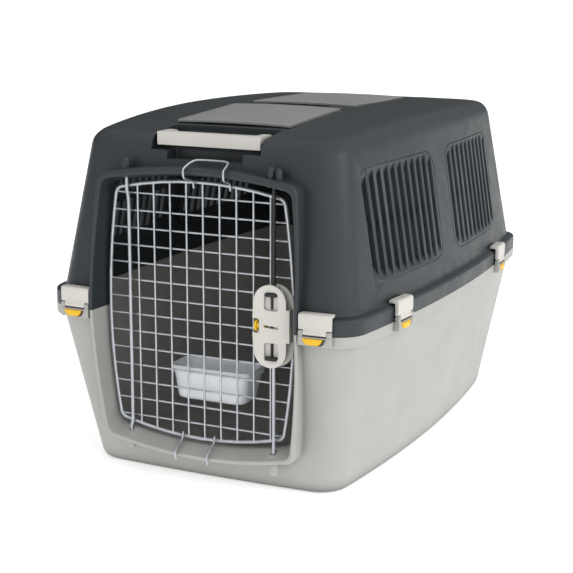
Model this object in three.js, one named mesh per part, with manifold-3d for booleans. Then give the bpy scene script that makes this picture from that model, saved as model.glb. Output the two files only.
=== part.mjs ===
// Pet transport carrier: two plastic half shells clamped together, a wire door with a
// two-way bolt lock, carrying handles, roof compartment lids and a feeding bowl.
// Millimetres, +Z up, origin on the floor under the middle of the carrier, door at -Y.
import * as THREE from 'three';
import { mergeVertices } from 'three/addons/utils/BufferGeometryUtils.js';
import Module from 'manifold-3d';

const wasm = await Module();
wasm.setup();

// ---------- driving dimensions ----------
const HALF_WIDTH = 261;        // flange, at its widest
const HALF_DEPTH = 375;        // flange, along the middle
const SEAM = 243;              // height of the clamp pins and of the middle of the door
const SPLIT = SEAM - 4;        // height of the joint between the half shells
const CORNER_RADIUS = 34;
const SIDE_BOW = 0.1;          // how much the sides draw in towards the corners
const END_BOW = 0.02;
const WALL = 3;
const FIT = 0.4;               // gap between pieces that touch
const ARC_STEPS = 4;
const ROOF_RISE = 13;          // dome of the roof along its length

const DOOR_Y = -341;           // middle plane of the door wires
const MESH_X = 2.5;            // middle of the upright wires
const FRAME_WIRE = 5.5;
const MESH_WIRE = 3;
const MESH_PITCH = 24.7;
const HINGE_X = -114.5;
const HINGE_Y = DOOR_Y - 5.5;
const BOLT_X = 113.5;
const BOLT_Y = DOOR_Y - 9;
const ROD_RADIUS = 2.6;
const ROD_BORE = 3.6;

// ---------- colours ----------
const FINISHES = {
  warm_grey: { color: 0xb0b0ac, roughness: 0.55, metalness: 0 },
  anthracite: { color: 0x3e4448, roughness: 0.55, metalness: 0 },
  light_grey: { color: 0xcdcbc6, roughness: 0.5, metalness: 0 },
  lid_grey: { color: 0xa5a5a2, roughness: 0.6, metalness: 0 },
  yellow: { color: 0xfacd1e, roughness: 0.45, metalness: 0 },
  zinc: { color: 0xa0a5aa, roughness: 0.35, metalness: 1 },
  black: { color: 0x15171a, roughness: 0.5, metalness: 0 },
  clear_white: { color: 0xe1e6eb, roughness: 0.3, metalness: 0 },
};

const carrier = new THREE.Group();
carrier.name = 'pet_carrier';

function addPiece(name, shape, finish, place = {}) {
  const geometry = shape.isBufferGeometry ? shape : geometryOf(shape);
  const mesh = new THREE.Mesh(geometry, new THREE.MeshStandardMaterial(FINISHES[finish]));
  mesh.name = name;
  if (place.at) mesh.position.set(...place.at);
  if (place.turn) mesh.rotation.z = place.turn;
  (place.parent ?? carrier).add(mesh);
  return mesh;
}

// ---------- solids ----------
function solidOf(geometry) {
  const plain = geometry.clone();
  plain.deleteAttribute('normal');
  plain.deleteAttribute('uv');
  const merged = mergeVertices(plain, 1e-4);
  return new wasm.Manifold(new wasm.Mesh({
    numProp: 3,
    vertProperties: new Float32Array(merged.attributes.position.array),
    triVerts: new Uint32Array(merged.index.array),
  }));
}

function geometryOf(solid) {
  const mesh = solid.getMesh();
  const geometry = new THREE.BufferGeometry();
  geometry.setAttribute('position', new THREE.BufferAttribute(mesh.vertProperties, 3));
  geometry.setIndex(new THREE.BufferAttribute(mesh.triVerts, 1));
  return geometry;
}

// A box from its lowest to its highest corner.
function block(low, high) {
  const size = high.map((value, axis) => value - low[axis]);
  const middle = high.map((value, axis) => (value + low[axis]) / 2);
  return solidOf(new THREE.BoxGeometry(...size).translate(...middle));
}

// A rod of the given radius from one point to another.
function rod(start, end, radius, sides = 8) {
  const from = new THREE.Vector3(...start);
  const along = new THREE.Vector3(...end).sub(from);
  const geometry = new THREE.CylinderGeometry(radius, radius, along.length(), sides);
  const turn = new THREE.Quaternion().setFromUnitVectors(
    new THREE.Vector3(0, 1, 0), along.clone().normalize());
  geometry.applyQuaternion(turn);
  geometry.translate(...from.addScaledVector(along, 0.5).toArray());
  return solidOf(geometry);
}

// A closed solid through a stack of rings with equal point counts. Each end is capped by a fan
// of faces about its middle.
function loft(rings, firstMiddle = centreOf(rings[0])) {
  const count = rings[0].length;
  const points = rings.flat();
  const faces = [];
  for (let level = 0; level < rings.length - 1; level += 1) {
    for (let i = 0; i < count; i += 1) {
      const a = level * count + i;
      const b = level * count + (i + 1) % count;
      faces.push(a, b, b + count, a, b + count, a + count);
    }
  }
  const first = points.length;
  points.push(firstMiddle, centreOf(rings[rings.length - 1]));
  const lastRing = (rings.length - 1) * count;
  for (let i = 0; i < count; i += 1) {
    const next = (i + 1) % count;
    faces.push(first, next, i, first + 1, lastRing + i, lastRing + next);
  }
  const geometry = new THREE.BufferGeometry();
  geometry.setAttribute('position', new THREE.Float32BufferAttribute(points.flat(), 3));
  geometry.setIndex(faces);
  return solidOf(geometry);
}

function centreOf(ring) {
  return [0, 1, 2].map((axis) => ring.reduce((sum, point) => sum + point[axis], 0) / ring.length);
}

// A flat outline drawn in X and Z, extruded along Y.
function plateXZ(shape, yFront, yBack, divisions = ARC_STEPS) {
  const geometry = new THREE.ExtrudeGeometry(shape, {
    depth: yBack - yFront, bevelEnabled: false, curveSegments: divisions,
  });
  geometry.rotateX(Math.PI / 2);
  geometry.translate(0, yBack, 0);
  return solidOf(geometry);
}

// A flat outline drawn in Y and Z, extruded along X to both sides of the middle.
function prismYZ(shape, halfWidth, divisions = 3) {
  const geometry = new THREE.ExtrudeGeometry(shape, {
    depth: 2 * halfWidth, bevelEnabled: false, curveSegments: divisions,
  });
  geometry.rotateY(Math.PI / 2);
  geometry.rotateX(Math.PI / 2);
  geometry.translate(-halfWidth, 0, 0);
  return solidOf(geometry);
}

function polygon(corners) {
  return new THREE.Shape(corners.map((corner) => new THREE.Vector2(...corner)));
}

// A wire through a list of points, with a section of a few sides.
function wire(points, radius, steps, sides = 6) {
  const path = new THREE.CatmullRomCurve3(points.map((p) => new THREE.Vector3(...p)), false, 'catmullrom', 0.2);
  const section = new THREE.Shape();
  for (let i = 0; i < sides; i += 1) {
    const angle = (2 * Math.PI * i) / sides;
    const corner = [radius * Math.cos(angle), radius * Math.sin(angle)];
    if (i === 0) section.moveTo(...corner);
    else section.lineTo(...corner);
  }
  section.closePath();
  return new THREE.ExtrudeGeometry(section, { extrudePath: path, steps, bevelEnabled: false });
}

// ---------- shell outlines ----------
// The plan of a shell at one height: a rounded rectangle with bowed sides and ends, drawn in
// from the flange by the inset.
function planRing(inset, height) {
  const halfWidth = HALF_WIDTH - inset;
  const halfDepth = HALF_DEPTH - inset;
  const radius = Math.min(CORNER_RADIUS, halfWidth * 0.6);
  const points = [];
  for (let corner = 0; corner < 4; corner += 1) {
    const signX = corner === 0 || corner === 3 ? 1 : -1;
    const signY = corner < 2 ? 1 : -1;
    for (let step = 0; step <= ARC_STEPS; step += 1) {
      const angle = (corner + step / ARC_STEPS) * (Math.PI / 2);
      points.push([
        signX * (halfWidth - radius) + radius * Math.cos(angle),
        signY * (halfDepth - radius) + radius * Math.sin(angle),
      ]);
    }
    points.push(...sidePoints(corner, halfWidth, halfDepth, radius));
  }
  return points.map(([x, y]) => [
    x * (1 - SIDE_BOW * (y / halfDepth) ** 2),
    y * (1 - END_BOW * (x / halfWidth) ** 2),
    height + roofRise(y, height),
  ]);
}

// How far the roof is domed along its length: most in the middle, and less steeply to the rear.
// The walls below it keep their height.
function roofRise(y, height) {
  const share = Math.min(1, Math.max(0, (height - SEAM - 200) / 40));
  const reach = y < 0 ? 300 : 424;
  return ROOF_RISE * share * Math.max(0, 1 - (y / reach) ** 2);
}

// Points between one corner and the next, so that the bow shows on the straight runs.
function sidePoints(corner, halfWidth, halfDepth, radius) {
  const steps = 4;
  const points = [];
  for (let step = 1; step < steps; step += 1) {
    const t = 1 - (2 * step) / steps;
    const alongEnd = (halfWidth - radius) * t;
    const alongSide = (halfDepth - radius) * t;
    if (corner === 0) points.push([alongEnd, halfDepth]);
    if (corner === 1) points.push([-halfWidth, alongSide]);
    if (corner === 2) points.push([-alongEnd, -halfDepth]);
    if (corner === 3) points.push([halfWidth, -alongSide]);
  }
  return points;
}

function shellLoft(profile, extra = 0) {
  return loft(profile.map(([inset, height]) => planRing(inset + extra, height)));
}

// ---------- door opening outlines ----------
// A barrel outline about the door centre, heights measured from the seam.
function barrel({ middle, topHalf, bottomHalf, top, topCrown, bottom, bottomCrown, corner }) {
  const topEdge = top - topCrown;
  const bottomEdge = bottom + bottomCrown;
  const shape = new THREE.Shape();
  shape.moveTo(topHalf - corner, topEdge + 1);
  shape.quadraticCurveTo(0, 2 * top - topEdge, -topHalf + corner, topEdge + 1);
  shape.quadraticCurveTo(-topHalf, topEdge, -topHalf - 1, topEdge - corner);
  shape.quadraticCurveTo(-middle, (topEdge - corner) / 2, -middle, 0);
  shape.quadraticCurveTo(-middle, (bottomEdge + corner) / 2, -bottomHalf - 1, bottomEdge + corner);
  shape.quadraticCurveTo(-bottomHalf, bottomEdge, -bottomHalf + corner, bottomEdge - 1);
  shape.quadraticCurveTo(0, 2 * bottom - bottomEdge, bottomHalf - corner, bottomEdge - 1);
  shape.quadraticCurveTo(bottomHalf, bottomEdge, bottomHalf + 1, bottomEdge + corner);
  shape.quadraticCurveTo(middle, (bottomEdge + corner) / 2, middle, 0);
  shape.quadraticCurveTo(middle, (topEdge - corner) / 2, topHalf + 1, topEdge - corner);
  shape.quadraticCurveTo(topHalf, topEdge, topHalf - corner, topEdge + 1);
  return shape;
}

const DOOR_OUTLINE = {
  middle: 149, topHalf: 137, bottomHalf: 134, top: 184, topCrown: 13, bottom: -184,
  bottomCrown: 15, corner: 13,
};
const FRAME_OUTLINE = { middle: 146, topHalf: 133, bottomHalf: 132, top: 184, bottom: -184 };
const FRAME_X = -4.5;          // the door frame sits a little towards its hinge side

function grownDoor(amount, changes = {}) {
  const { middle, topHalf, bottomHalf, top, bottom, ...rest } = DOOR_OUTLINE;
  return {
    ...rest,
    middle: middle + amount,
    topHalf: topHalf + amount,
    bottomHalf: bottomHalf + amount,
    top: top + amount,
    bottom: bottom - amount,
    ...changes,
  };
}

function outlineRing(dimensions, yAt) {
  const points = barrel(dimensions).getPoints(3).slice(0, -1);
  const ring = points.map((point) => [point.x, yAt(point.y), SEAM + point.y]);
  return ring.reverse();
}

const RIM_FRONT = -380;
const RIM_SLOPE = 0.085;       // the rim leans back above and below the seam
const JAMB_BACK = -331;
const rimFront = (height) => RIM_FRONT + RIM_SLOPE * Math.abs(height);

// The raised surround of the door and the jamb behind it, before they are split between the shells.
function doorRim() {
  const outline = { middle: 161, topHalf: 152, bottomHalf: 149, top: 203, bottom: -206 };
  return loft([
    outlineRing(grownDoor(0, outline), rimFront),
    outlineRing(grownDoor(0, outline), () => JAMB_BACK),
  ], [0, RIM_FRONT, SEAM]);
}

// The tapering hole through the rim and the front wall.
function doorHole() {
  const mouth = { middle: 156, topHalf: 145, bottomHalf: 143, top: 194, bottom: -200 };
  return loft([
    outlineRing(grownDoor(0, mouth), () => RIM_FRONT - 10),
    outlineRing(grownDoor(0, mouth), rimFront),
    outlineRing(grownDoor(5), () => DOOR_Y + 4),
    outlineRing(grownDoor(5), () => -290),
  ]);
}

// ---------- clamps ----------
const CLAMP_WIDTH = 46;
const SIDE_CLAMP_FRONT = -232;
const SIDE_CLAMP_REAR = 200;
const END_CLAMP_X = 185;

// The flange edge at a place on a side or an end, with the direction that faces outward.
function clampPlaces() {
  const sideX = (y) => HALF_WIDTH * (1 - SIDE_BOW * (y / HALF_DEPTH) ** 2);
  const endY = (x) => HALF_DEPTH * (1 - END_BOW * (x / HALF_WIDTH) ** 2);
  const sideLean = (y) => Math.atan((2 * SIDE_BOW * HALF_WIDTH * y) / HALF_DEPTH ** 2);
  const endLean = (x) => Math.atan((2 * END_BOW * HALF_DEPTH * x) / HALF_WIDTH ** 2);
  const places = [];
  for (const side of [-1, 1]) {
    const hand = side < 0 ? 'left' : 'right';
    for (const [label, y] of [['front', SIDE_CLAMP_FRONT], ['rear', SIDE_CLAMP_REAR]]) {
      const facing = side > 0 ? Math.PI / 2 + sideLean(y) : -Math.PI / 2 - sideLean(y);
      places.push({ name: `${hand}_side_${label}`, x: side * sideX(y), y, facing });
    }
    for (const [label, end] of [['front', -1], ['rear', 1]]) {
      const x = side * END_CLAMP_X;
      const facing = end < 0 ? endLean(x) : Math.PI - endLean(x);
      places.push({ name: `${label}_${hand}`, x, y: end * endY(x), facing });
    }
  }
  return places;
}

// Clamp pieces are drawn with the outward direction along -Y, the seam at Z = 0 and the flange
// face at Y = 0, then turned and moved to their places.
const PIVOT = { out: 4, up: 0 };
const KNUCKLE_RADIUS = 3.4;
const PIN_RADIUS = 1.3;
const PIN_BORE = 1.8;

function placed(solid, place) {
  const geometry = geometryOf(solid);
  geometry.rotateZ(place.facing);
  geometry.translate(place.x, place.y, SEAM);
  return solidOf(geometry);
}

function alongX(halfLength, radius, sides = 8) {
  const y = -PIVOT.out;
  return rod([-halfLength, y, PIVOT.up], [halfLength, y, PIVOT.up], radius, sides);
}

// The seat moulded on the lower flange: a block with a pocket for the tab and two pin ears.
function clampSeat() {
  const half = CLAMP_WIDTH / 2;
  const body = block([-half, -8, -17.2], [half, 3, -4.6]);
  const pocket = block([-17, -9, -15.8], [17, -3.6, -5.6]);
  const ears = block([-half, -7, -5], [half, -1, 0]).add(alongX(half, KNUCKLE_RADIUS, 10));
  const between = block([-17, -9, -4.2], [17, 1, 5]);
  const bore = alongX(half + 1, PIN_BORE);
  return body.add(ears.subtract(between)).subtract(pocket).subtract(bore);
}

// The swinging clamp: a plate over the flange face with a lip that reaches over its top.
function clampArm() {
  const half = CLAMP_WIDTH / 2;
  const section = new THREE.Shape();
  section.moveTo(-1, 4.2);
  section.lineTo(-6, 4.2);
  section.lineTo(-6, 21);
  section.quadraticCurveTo(-6, 25, -2, 25.5);
  section.lineTo(8.5, 25.5);
  section.lineTo(8.5, 21.5);
  section.lineTo(-1, 21.5);
  section.closePath();
  const knuckle = alongX(16.5, KNUCKLE_RADIUS, 10).add(block([-16.5, -6, 0], [16.5, -1, 6]));
  return prismYZ(section, half).add(knuckle).subtract(alongX(half, PIN_BORE));
}

// The yellow locking tab: a flat-topped half lens that slides along its pocket.
function clampTab() {
  const shape = new THREE.Shape();
  shape.moveTo(-14, 4.2);
  shape.quadraticCurveTo(-13, -4.4, 0, -4.4);
  shape.quadraticCurveTo(13, -4.4, 14, 4.2);
  shape.closePath();
  return plateXZ(shape, -9.4, -4, 5);
}

function addClamps() {
  for (const place of clampPlaces()) {
    const spot = { at: [place.x, place.y, SEAM], turn: place.facing };
    addPiece(`clamp_${place.name}`, clampArm(), 'light_grey', spot);
    addPiece(`clamp_pin_${place.name}`, alongX(CLAMP_WIDTH / 2 - 0.5, PIN_RADIUS, 6), 'zinc', spot);
    const tab = geometryOf(clampTab()).translate(-2.3, 0, -10.7);
    addPiece(`clamp_tab_${place.name}`, tab, 'yellow', spot);
  }
}

// ---------- bottom shell ----------
const BOTTOM_PROFILE = [
  [60, 0], [51, 4], [46.5, 14], [9, 221], [2, 223], [0, 226], [0, SPLIT - FIT / 2],
];

function bottomShell() {
  const outer = shellLoft(BOTTOM_PROFILE);
  const inner = shellLoft([
    [60, WALL], [51, WALL + 4], [46.5, WALL + 14], [9, 221], [0.5, 226], [0.5, SPLIT + 1],
  ], WALL);
  const below = block([-400, -500, -1], [400, 500, SPLIT - FIT / 2]);
  const rim = doorRim().intersect(below);
  let shell = outer.subtract(inner).add(rim);
  shell = addRodSockets(shell, -1).intersect(below).subtract(doorHole()).subtract(rodBores());
  for (const place of clampPlaces()) {
    shell = shell.add(placed(clampSeat(), place));
  }
  return shell;
}

// Round bosses on the rim that hold the ends of the hinge rod and of the bolts.
function addRodSockets(shell, side) {
  const start = SEAM + side * 186;
  const end = SEAM + side * 209;
  return shell
    .add(rod([HINGE_X, HINGE_Y, start], [HINGE_X, HINGE_Y, end], 6, 10))
    .add(rod([BOLT_X, BOLT_Y, start], [BOLT_X, BOLT_Y, end], 6, 10));
}

const ROD_REACH = 195;         // how far the rods reach above and below the seam

function rodBores() {
  const low = SEAM - ROD_REACH - 1.5;
  const high = SEAM + ROD_REACH + 1.5;
  return rod([HINGE_X, HINGE_Y, low], [HINGE_X, HINGE_Y, high], ROD_BORE)
    .add(rod([BOLT_X, BOLT_Y, low], [BOLT_X, BOLT_Y, high], ROD_BORE));
}

// ---------- top shell ----------
const TOP_PROFILE = [
  [0, SPLIT + FIT / 2], [0, SEAM + 12], [3, SEAM + 17.5], [9, SEAM + 20], [11, SEAM + 23],
  [43, SEAM + 222], [46, SEAM + 230], [52, SEAM + 237], [62, SEAM + 241.5], [78, SEAM + 243.5],
  [112, SEAM + 245.5], [155, SEAM + 246.5], [200, SEAM + 247], [238, SEAM + 247.5],
];

function topShell() {
  const outer = shellLoft(TOP_PROFILE);
  const innerProfile = TOP_PROFILE.map(([inset, height]) => [inset + 0.5, height - WALL]);
  innerProfile[0] = [0.5, SPLIT - 1];
  const cavity = shellLoft(innerProfile, WALL).subtract(roofPockets(WALL)).subtract(lidSeats());
  const above = block([-400, -500, SPLIT + FIT / 2], [400, 500, SEAM + 400]);
  const rim = doorRim().intersect(above);
  const shell = outer.subtract(cavity).add(rim);
  return addRodSockets(shell, 1)
    .intersect(above)
    .subtract(doorHole())
    .subtract(rodBores())
    .subtract(roofPockets(0))
    .add(handlePads())
    .subtract(hingeBores())
    .subtract(ventSlots());
}

// ---------- roof ----------
const LIDS = [
  { name: 'front', from: -249, to: -71, low: SEAM + 250.5, high: SEAM + 258.7 },
  { name: 'rear', from: -12, to: 194, low: SEAM + 258.2, high: SEAM + 255.5 },
];
const LID_HALF_WIDTH = 88;
const LID_THICKNESS = 4;
const POCKET_HALF_WIDTH = 84;
const HANDLE_Y = 322;          // front face of a handle's grip, from the middle
const HANDLE_TOP = SEAM + 245;
const HANDLE_PIN_Y = 289;
const HANDLE_PIN_Z = SEAM + 238;

// Recesses in the roof: the two compartments, the finger gap between the lids and the two
// handle recesses. The margin makes the walls that keep them closed towards the cabin.
function roofPockets(margin) {
  const wide = LID_HALF_WIDTH - 5 + margin;
  const roof = SEAM + 300;
  const boxes = LIDS.map(({ from, to }) => block(
    [-wide, from + 4 - margin, SEAM + 224 - margin], [wide, to - 8 + margin, roof]));
  boxes.push(block([-50 - margin, -65 - margin, SEAM + 246 - margin], [50 + margin, -16 + margin, roof]));
  const half = POCKET_HALF_WIDTH + margin;
  for (const end of [-1, 1]) {
    const near = end * (261 - margin);
    const far = end * 400;
    boxes.push(block(
      [-half, Math.min(near, far), SEAM + 221 - margin], [half, Math.max(near, far), roof]));
    const fingers = end * (308 - margin);
    boxes.push(block(
      [-58 - margin, Math.min(fingers, far), SEAM + 209 - margin],
      [58 + margin, Math.max(fingers, far), SEAM + 222]));
  }
  return boxes.reduce((all, box) => all.add(box));
}

// The space a lid takes in the roof, from the drop below its underside upward.
function aboveLid({ from, to, low, high }, drop, halfWidth, spread) {
  const slope = (high - low) / (to - from);
  return prismYZ(polygon([
    [from - spread, low - slope * spread - drop],
    [to + spread, high + slope * spread - drop],
    [to + spread, SEAM + 300],
    [from - spread, SEAM + 300],
  ]), halfWidth);
}

// The thicker roof under the edges of the lids and round the grooves for their pins.
function lidSeats() {
  const seats = LIDS.map((lid) => {
    const { y, z } = lidPinAt(lid);
    const half = LID_HALF_PIN + 1 + WALL;
    return aboveLid(lid, WALL, LID_HALF_WIDTH + 4, 3)
      .add(block([-half, y - 4.5 - WALL, z - 4.5 - WALL], [half, y + 7 + WALL, SEAM + 300]));
  });
  return seats.reduce((all, seat) => all.add(seat));
}

// Two raised pads behind each handle grip.
function handlePads() {
  const pads = [];
  for (const end of [-1, 1]) {
    for (const side of [-1, 1]) {
      const x = [side * 8, side * 63].sort((a, b) => a - b);
      const y = [end * 259, end * 283].sort((a, b) => a - b);
      pads.push(block([x[0], y[0], SEAM + 219], [x[1], y[1], SEAM + 241]));
    }
  }
  return pads.reduce((all, pad) => all.add(pad));
}

const LID_PIN_RADIUS = 1.6;
const LID_HALF_PIN = LID_HALF_WIDTH + 4;

function lidPinAt({ to, high }) {
  return { y: to - 4, z: high - 1.6 };
}

// Holes for the handle pins and grooves for the lid pins.
function hingeBores() {
  const bores = [];
  for (const end of [-1, 1]) {
    const y = end * HANDLE_PIN_Y;
    const reach = POCKET_HALF_WIDTH + 3;
    bores.push(rod([-reach, y, HANDLE_PIN_Z], [reach, y, HANDLE_PIN_Z], 2.4));
  }
  for (const lid of LIDS) {
    const { y, z } = lidPinAt(lid);
    bores.push(block([-LID_HALF_PIN - 1, y - 4.5, z - 4.5], [LID_HALF_PIN + 1, y + 7, z + 20]));
    bores.push(aboveLid(lid, 0.5, LID_HALF_WIDTH + 1, 1));
  }
  return bores.reduce((all, bore) => all.add(bore));
}

// A compartment lid: a flat panel with a hinge barrel along its rear edge.
function lidPanel(lid) {
  const { y, z } = lidPinAt(lid);
  const section = polygon([
    [lid.from, lid.low + LID_THICKNESS],
    [lid.from, lid.low],
    [lid.to - 9, lid.high],
    [lid.to - 4, lid.high],
    [lid.to - 2, lid.high + LID_THICKNESS],
  ]);
  const half = LID_HALF_WIDTH - 6;
  const barrelRod = rod([-half, y, z], [half, y, z], 3.4, 10);
  const bore = rod([-half - 20, y, z], [half + 20, y, z], LID_PIN_RADIUS + 0.6);
  return prismYZ(section, LID_HALF_WIDTH).add(barrelRod).subtract(bore);
}

function addRoof() {
  for (const lid of LIDS) {
    const { y, z } = lidPinAt(lid);
    addPiece(`${lid.name}_lid`, lidPanel(lid), 'lid_grey');
    addPiece(`${lid.name}_lid_pin`,
      rod([-LID_HALF_PIN, y, z], [LID_HALF_PIN, y, z], LID_PIN_RADIUS, 6), 'zinc');
  }
}

// ---------- handles ----------
// A grip plate with two arms that run back over the roof to the hinge pin.
function handle(end) {
  const half = 79;
  const top = HANDLE_TOP;
  const front = (depth) => end * (HANDLE_Y - depth);
  const slab = (x0, x1, y0, y1, z0, z1) => block(
    [x0, Math.min(y0, y1), z0], [x1, Math.max(y0, y1), z1]);
  let body = slab(-half, half, front(0), front(5), top - 18, top);
  body = body.add(slab(-half, half, front(0), front(14), top - 4, top));
  for (const side of [-1, 1]) {
    const x = [side * 67, side * half].sort((a, b) => a - b);
    body = body.add(slab(x[0], x[1], front(0), end * HANDLE_PIN_Y, top - 10, top));
    body = body.add(rod([x[0], end * HANDLE_PIN_Y, HANDLE_PIN_Z],
      [x[1], end * HANDLE_PIN_Y, HANDLE_PIN_Z], 6.5, 10));
  }
  const bore = rod([-90, end * HANDLE_PIN_Y, HANDLE_PIN_Z], [90, end * HANDLE_PIN_Y, HANDLE_PIN_Z], 2.4);
  return body.subtract(bore);
}

function addHandles() {
  const reach = POCKET_HALF_WIDTH + 2.5;
  for (const [label, end] of [['front', -1], ['rear', 1]]) {
    const y = end * HANDLE_PIN_Y;
    addPiece(`${label}_handle`, handle(end), 'light_grey');
    addPiece(`${label}_handle_pin`, rod([-reach, y, HANDLE_PIN_Z], [reach, y, HANDLE_PIN_Z], 1.9, 6), 'zinc');
  }
}

// ---------- vents ----------
const SIDE_VENTS = [
  { from: -284, to: -48, slots: 11 },
  { from: 12, to: 236, slots: 10 },
];
const VENT_LOW = SEAM + 54;
const VENT_HIGH = SEAM + 202;
const VENT_SLOT = 9;

// Upright slots through both side walls, in two rows parted by a crossbar, and through the
// rear wall.
function ventSlots() {
  const middle = (VENT_LOW + VENT_HIGH) / 2;
  const rows = [[VENT_LOW, middle - 5], [middle + 5, VENT_HIGH]];
  const cuts = [];
  for (const { from, to, slots } of SIDE_VENTS) {
    const pitch = (to - from) / slots;
    for (let i = 0; i < slots; i += 1) {
      const y = from + (i + 0.5) * pitch;
      for (const [low, high] of rows) {
        cuts.push(block([-400, y - VENT_SLOT / 2, low], [400, y + VENT_SLOT / 2, high]));
      }
    }
  }
  const rearSlots = 12;
  for (let i = 0; i < rearSlots; i += 1) {
    const x = (i - (rearSlots - 1) / 2) * 22;
    for (const [low, high] of rows) {
      cuts.push(block([x - VENT_SLOT / 2, 300, low], [x + VENT_SLOT / 2, 400, high]));
    }
  }
  return cuts.reduce((all, cut) => all.add(cut));
}

// ---------- door ----------
function doorFrame() {
  const outer = plateXZ(frameOutline(0), DOOR_Y - FRAME_WIRE / 2, DOOR_Y + FRAME_WIRE / 2);
  const hole = plateXZ(frameOutline(FRAME_WIRE), DOOR_Y - 10, DOOR_Y + 10);
  return solidOf(geometryOf(outer.subtract(hole)).translate(FRAME_X, 0, SEAM));
}

// The outline of the door frame, drawn in by the inset.
function frameOutline(inset) {
  const { middle, topHalf, bottomHalf, top, bottom } = FRAME_OUTLINE;
  return barrel(grownDoor(0, {
    middle: middle - inset,
    topHalf: topHalf - inset,
    bottomHalf: bottomHalf - inset,
    top: top - inset,
    bottom: bottom + inset,
  }));
}

const UPRIGHT_WIRES = 9;
const UPRIGHT_PITCH = 25.6;
const CROSS_WIRES = 14;

// The wire mesh: upright and cross wires cut to the inside of the frame.
function doorGrille() {
  const half = MESH_WIRE / 2;
  const bars = [];
  for (let i = 0; i < UPRIGHT_WIRES; i += 1) {
    const x = MESH_X + (i - (UPRIGHT_WIRES - 1) / 2) * UPRIGHT_PITCH;
    bars.push(block([x - half, DOOR_Y - half, SEAM - 220], [x + half, DOOR_Y + half, SEAM + 220]));
  }
  for (let i = 0; i < CROSS_WIRES; i += 1) {
    const z = SEAM + (i - (CROSS_WIRES - 1) / 2) * MESH_PITCH;
    bars.push(block([-200, DOOR_Y - half, z - half], [200, DOOR_Y + half, z + half]));
  }
  const inside = plateXZ(frameOutline(FRAME_WIRE + FIT), DOOR_Y - 10, DOOR_Y + 10);
  const limit = solidOf(geometryOf(inside).translate(FRAME_X, 0, SEAM));
  return bars.reduce((all, bar) => all.add(bar)).intersect(limit);
}

// Wire stops that reach forward from the frame and over the rim, so that the door can't be
// pushed inward.
function topHook() {
  const y = DOOR_Y - FRAME_WIRE / 2 - 1.6;
  const side = (x, sign) => [
    [x, y, SEAM + 176], [x, y - 3, SEAM + 184], [x - sign * 2, rimFront(190) - 4, SEAM + 190],
    [x - sign * 2, rimFront(195) - 6, SEAM + 203], [x + sign * 4, -346, SEAM + 212],
  ];
  return wire([...side(-9.5, 1), ...side(46.5, -1).reverse()], 1.5, 26);
}

function bottomHook(x) {
  const y = DOOR_Y - FRAME_WIRE / 2 - 1.6;
  return wire([
    [x, y, SEAM - 174], [x, y - 4, SEAM - 184], [x - 1, rimFront(200) - 3, SEAM - 196],
    [x - 1, rimFront(200) - 5, SEAM - 201], [x, rimFront(200) - 4, SEAM - 208],
  ], 1.5, 16);
}

function addDoor() {
  addPiece('door_frame', doorFrame(), 'zinc');
  addPiece('door_grille', doorGrille(), 'zinc');
  addPiece('hinge_rod',
    rod([HINGE_X, HINGE_Y, SEAM - ROD_REACH], [HINGE_X, HINGE_Y, SEAM + ROD_REACH], ROD_RADIUS), 'zinc');
  addPiece('top_hook', topHook(), 'zinc');
  addPiece('bottom_hook_left', bottomHook(-30.5), 'zinc');
  addPiece('bottom_hook_right', bottomHook(19.5), 'zinc');
}

// ---------- lock ----------
const LOCK_HALF_WIDTH = 24;
const LOCK_HALF_HEIGHT = 57;
const LOCK_X = 111.5;
const LOCK_Z = SEAM - 3;

function lockOutline(halfWidth, halfHeight) {
  const shape = new THREE.Shape();
  const straight = halfHeight - halfWidth;
  shape.moveTo(halfWidth, -straight);
  shape.lineTo(halfWidth, straight);
  shape.absarc(0, straight, halfWidth, 0, Math.PI, false);
  shape.quadraticCurveTo(-halfWidth - 4, 0, -halfWidth, -straight);
  shape.absarc(0, -straight, halfWidth, Math.PI, 2 * Math.PI, false);
  return shape;
}

const LOCK_BACK = DOOR_Y - FRAME_WIRE / 2 - FIT;
const LOCK_PLATE = 2.6;
const LOCK_FRONT = BOLT_Y - 9;
const KNOB_X = LOCK_X - 20.5;   // middle of the knob's disc
const KNOB_Y = BOLT_Y - 5.2;
const KNOB_RADIUS = 8;

// The front half of the lock: an oval plate with two windows and a notch for the knob, on a
// block that guides the bolts.
function lockCase() {
  let body = plateXZ(lockOutline(LOCK_HALF_WIDTH, LOCK_HALF_HEIGHT), LOCK_FRONT, LOCK_FRONT + 4, 6);
  body = body.add(block([-14, LOCK_FRONT, -20], [29, LOCK_BACK - LOCK_PLATE - FIT, 25]));
  for (const side of [-1, 1]) {
    const z = [side * 22, side * 47].sort((a, b) => a - b);
    body = body.subtract(block([-9, LOCK_FRONT - 1, z[0]], [13, LOCK_FRONT + 5, z[1]]));
    const guide = [side * 47.5, side * 55].sort((a, b) => a - b);
    body = body.add(block([-6, LOCK_FRONT, guide[0]], [10, LOCK_BACK - LOCK_PLATE - FIT, guide[1]]));
  }
  body = body.subtract(block([-7, LOCK_FRONT - 1, -2], [14, LOCK_FRONT + 3, 0.6]));
  body = body.subtract(block([-40, LOCK_FRONT - 1, -10], [-16, LOCK_FRONT + 5, 10]));
  body = body.subtract(rod([-40, KNOB_Y, 0], [-3, KNOB_Y, 0], 3));
  const moved = solidOf(geometryOf(body).translate(LOCK_X, 0, LOCK_Z));
  return moved
    .subtract(rod([BOLT_X, BOLT_Y, LOCK_Z - 70], [BOLT_X, BOLT_Y, LOCK_Z + 70], ROD_BORE - 0.4))
    .subtract(block([BOLT_X - 5.6, BOLT_Y - 5, LOCK_Z - 26], [BOLT_X + 5.6, BOLT_Y + 5, LOCK_Z + 26]))
    .subtract(block([BOLT_X - 2.6, LOCK_FRONT + 1.6, LOCK_Z - 26], [BOLT_X + 2.6, BOLT_Y, LOCK_Z + 26]));
}

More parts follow.
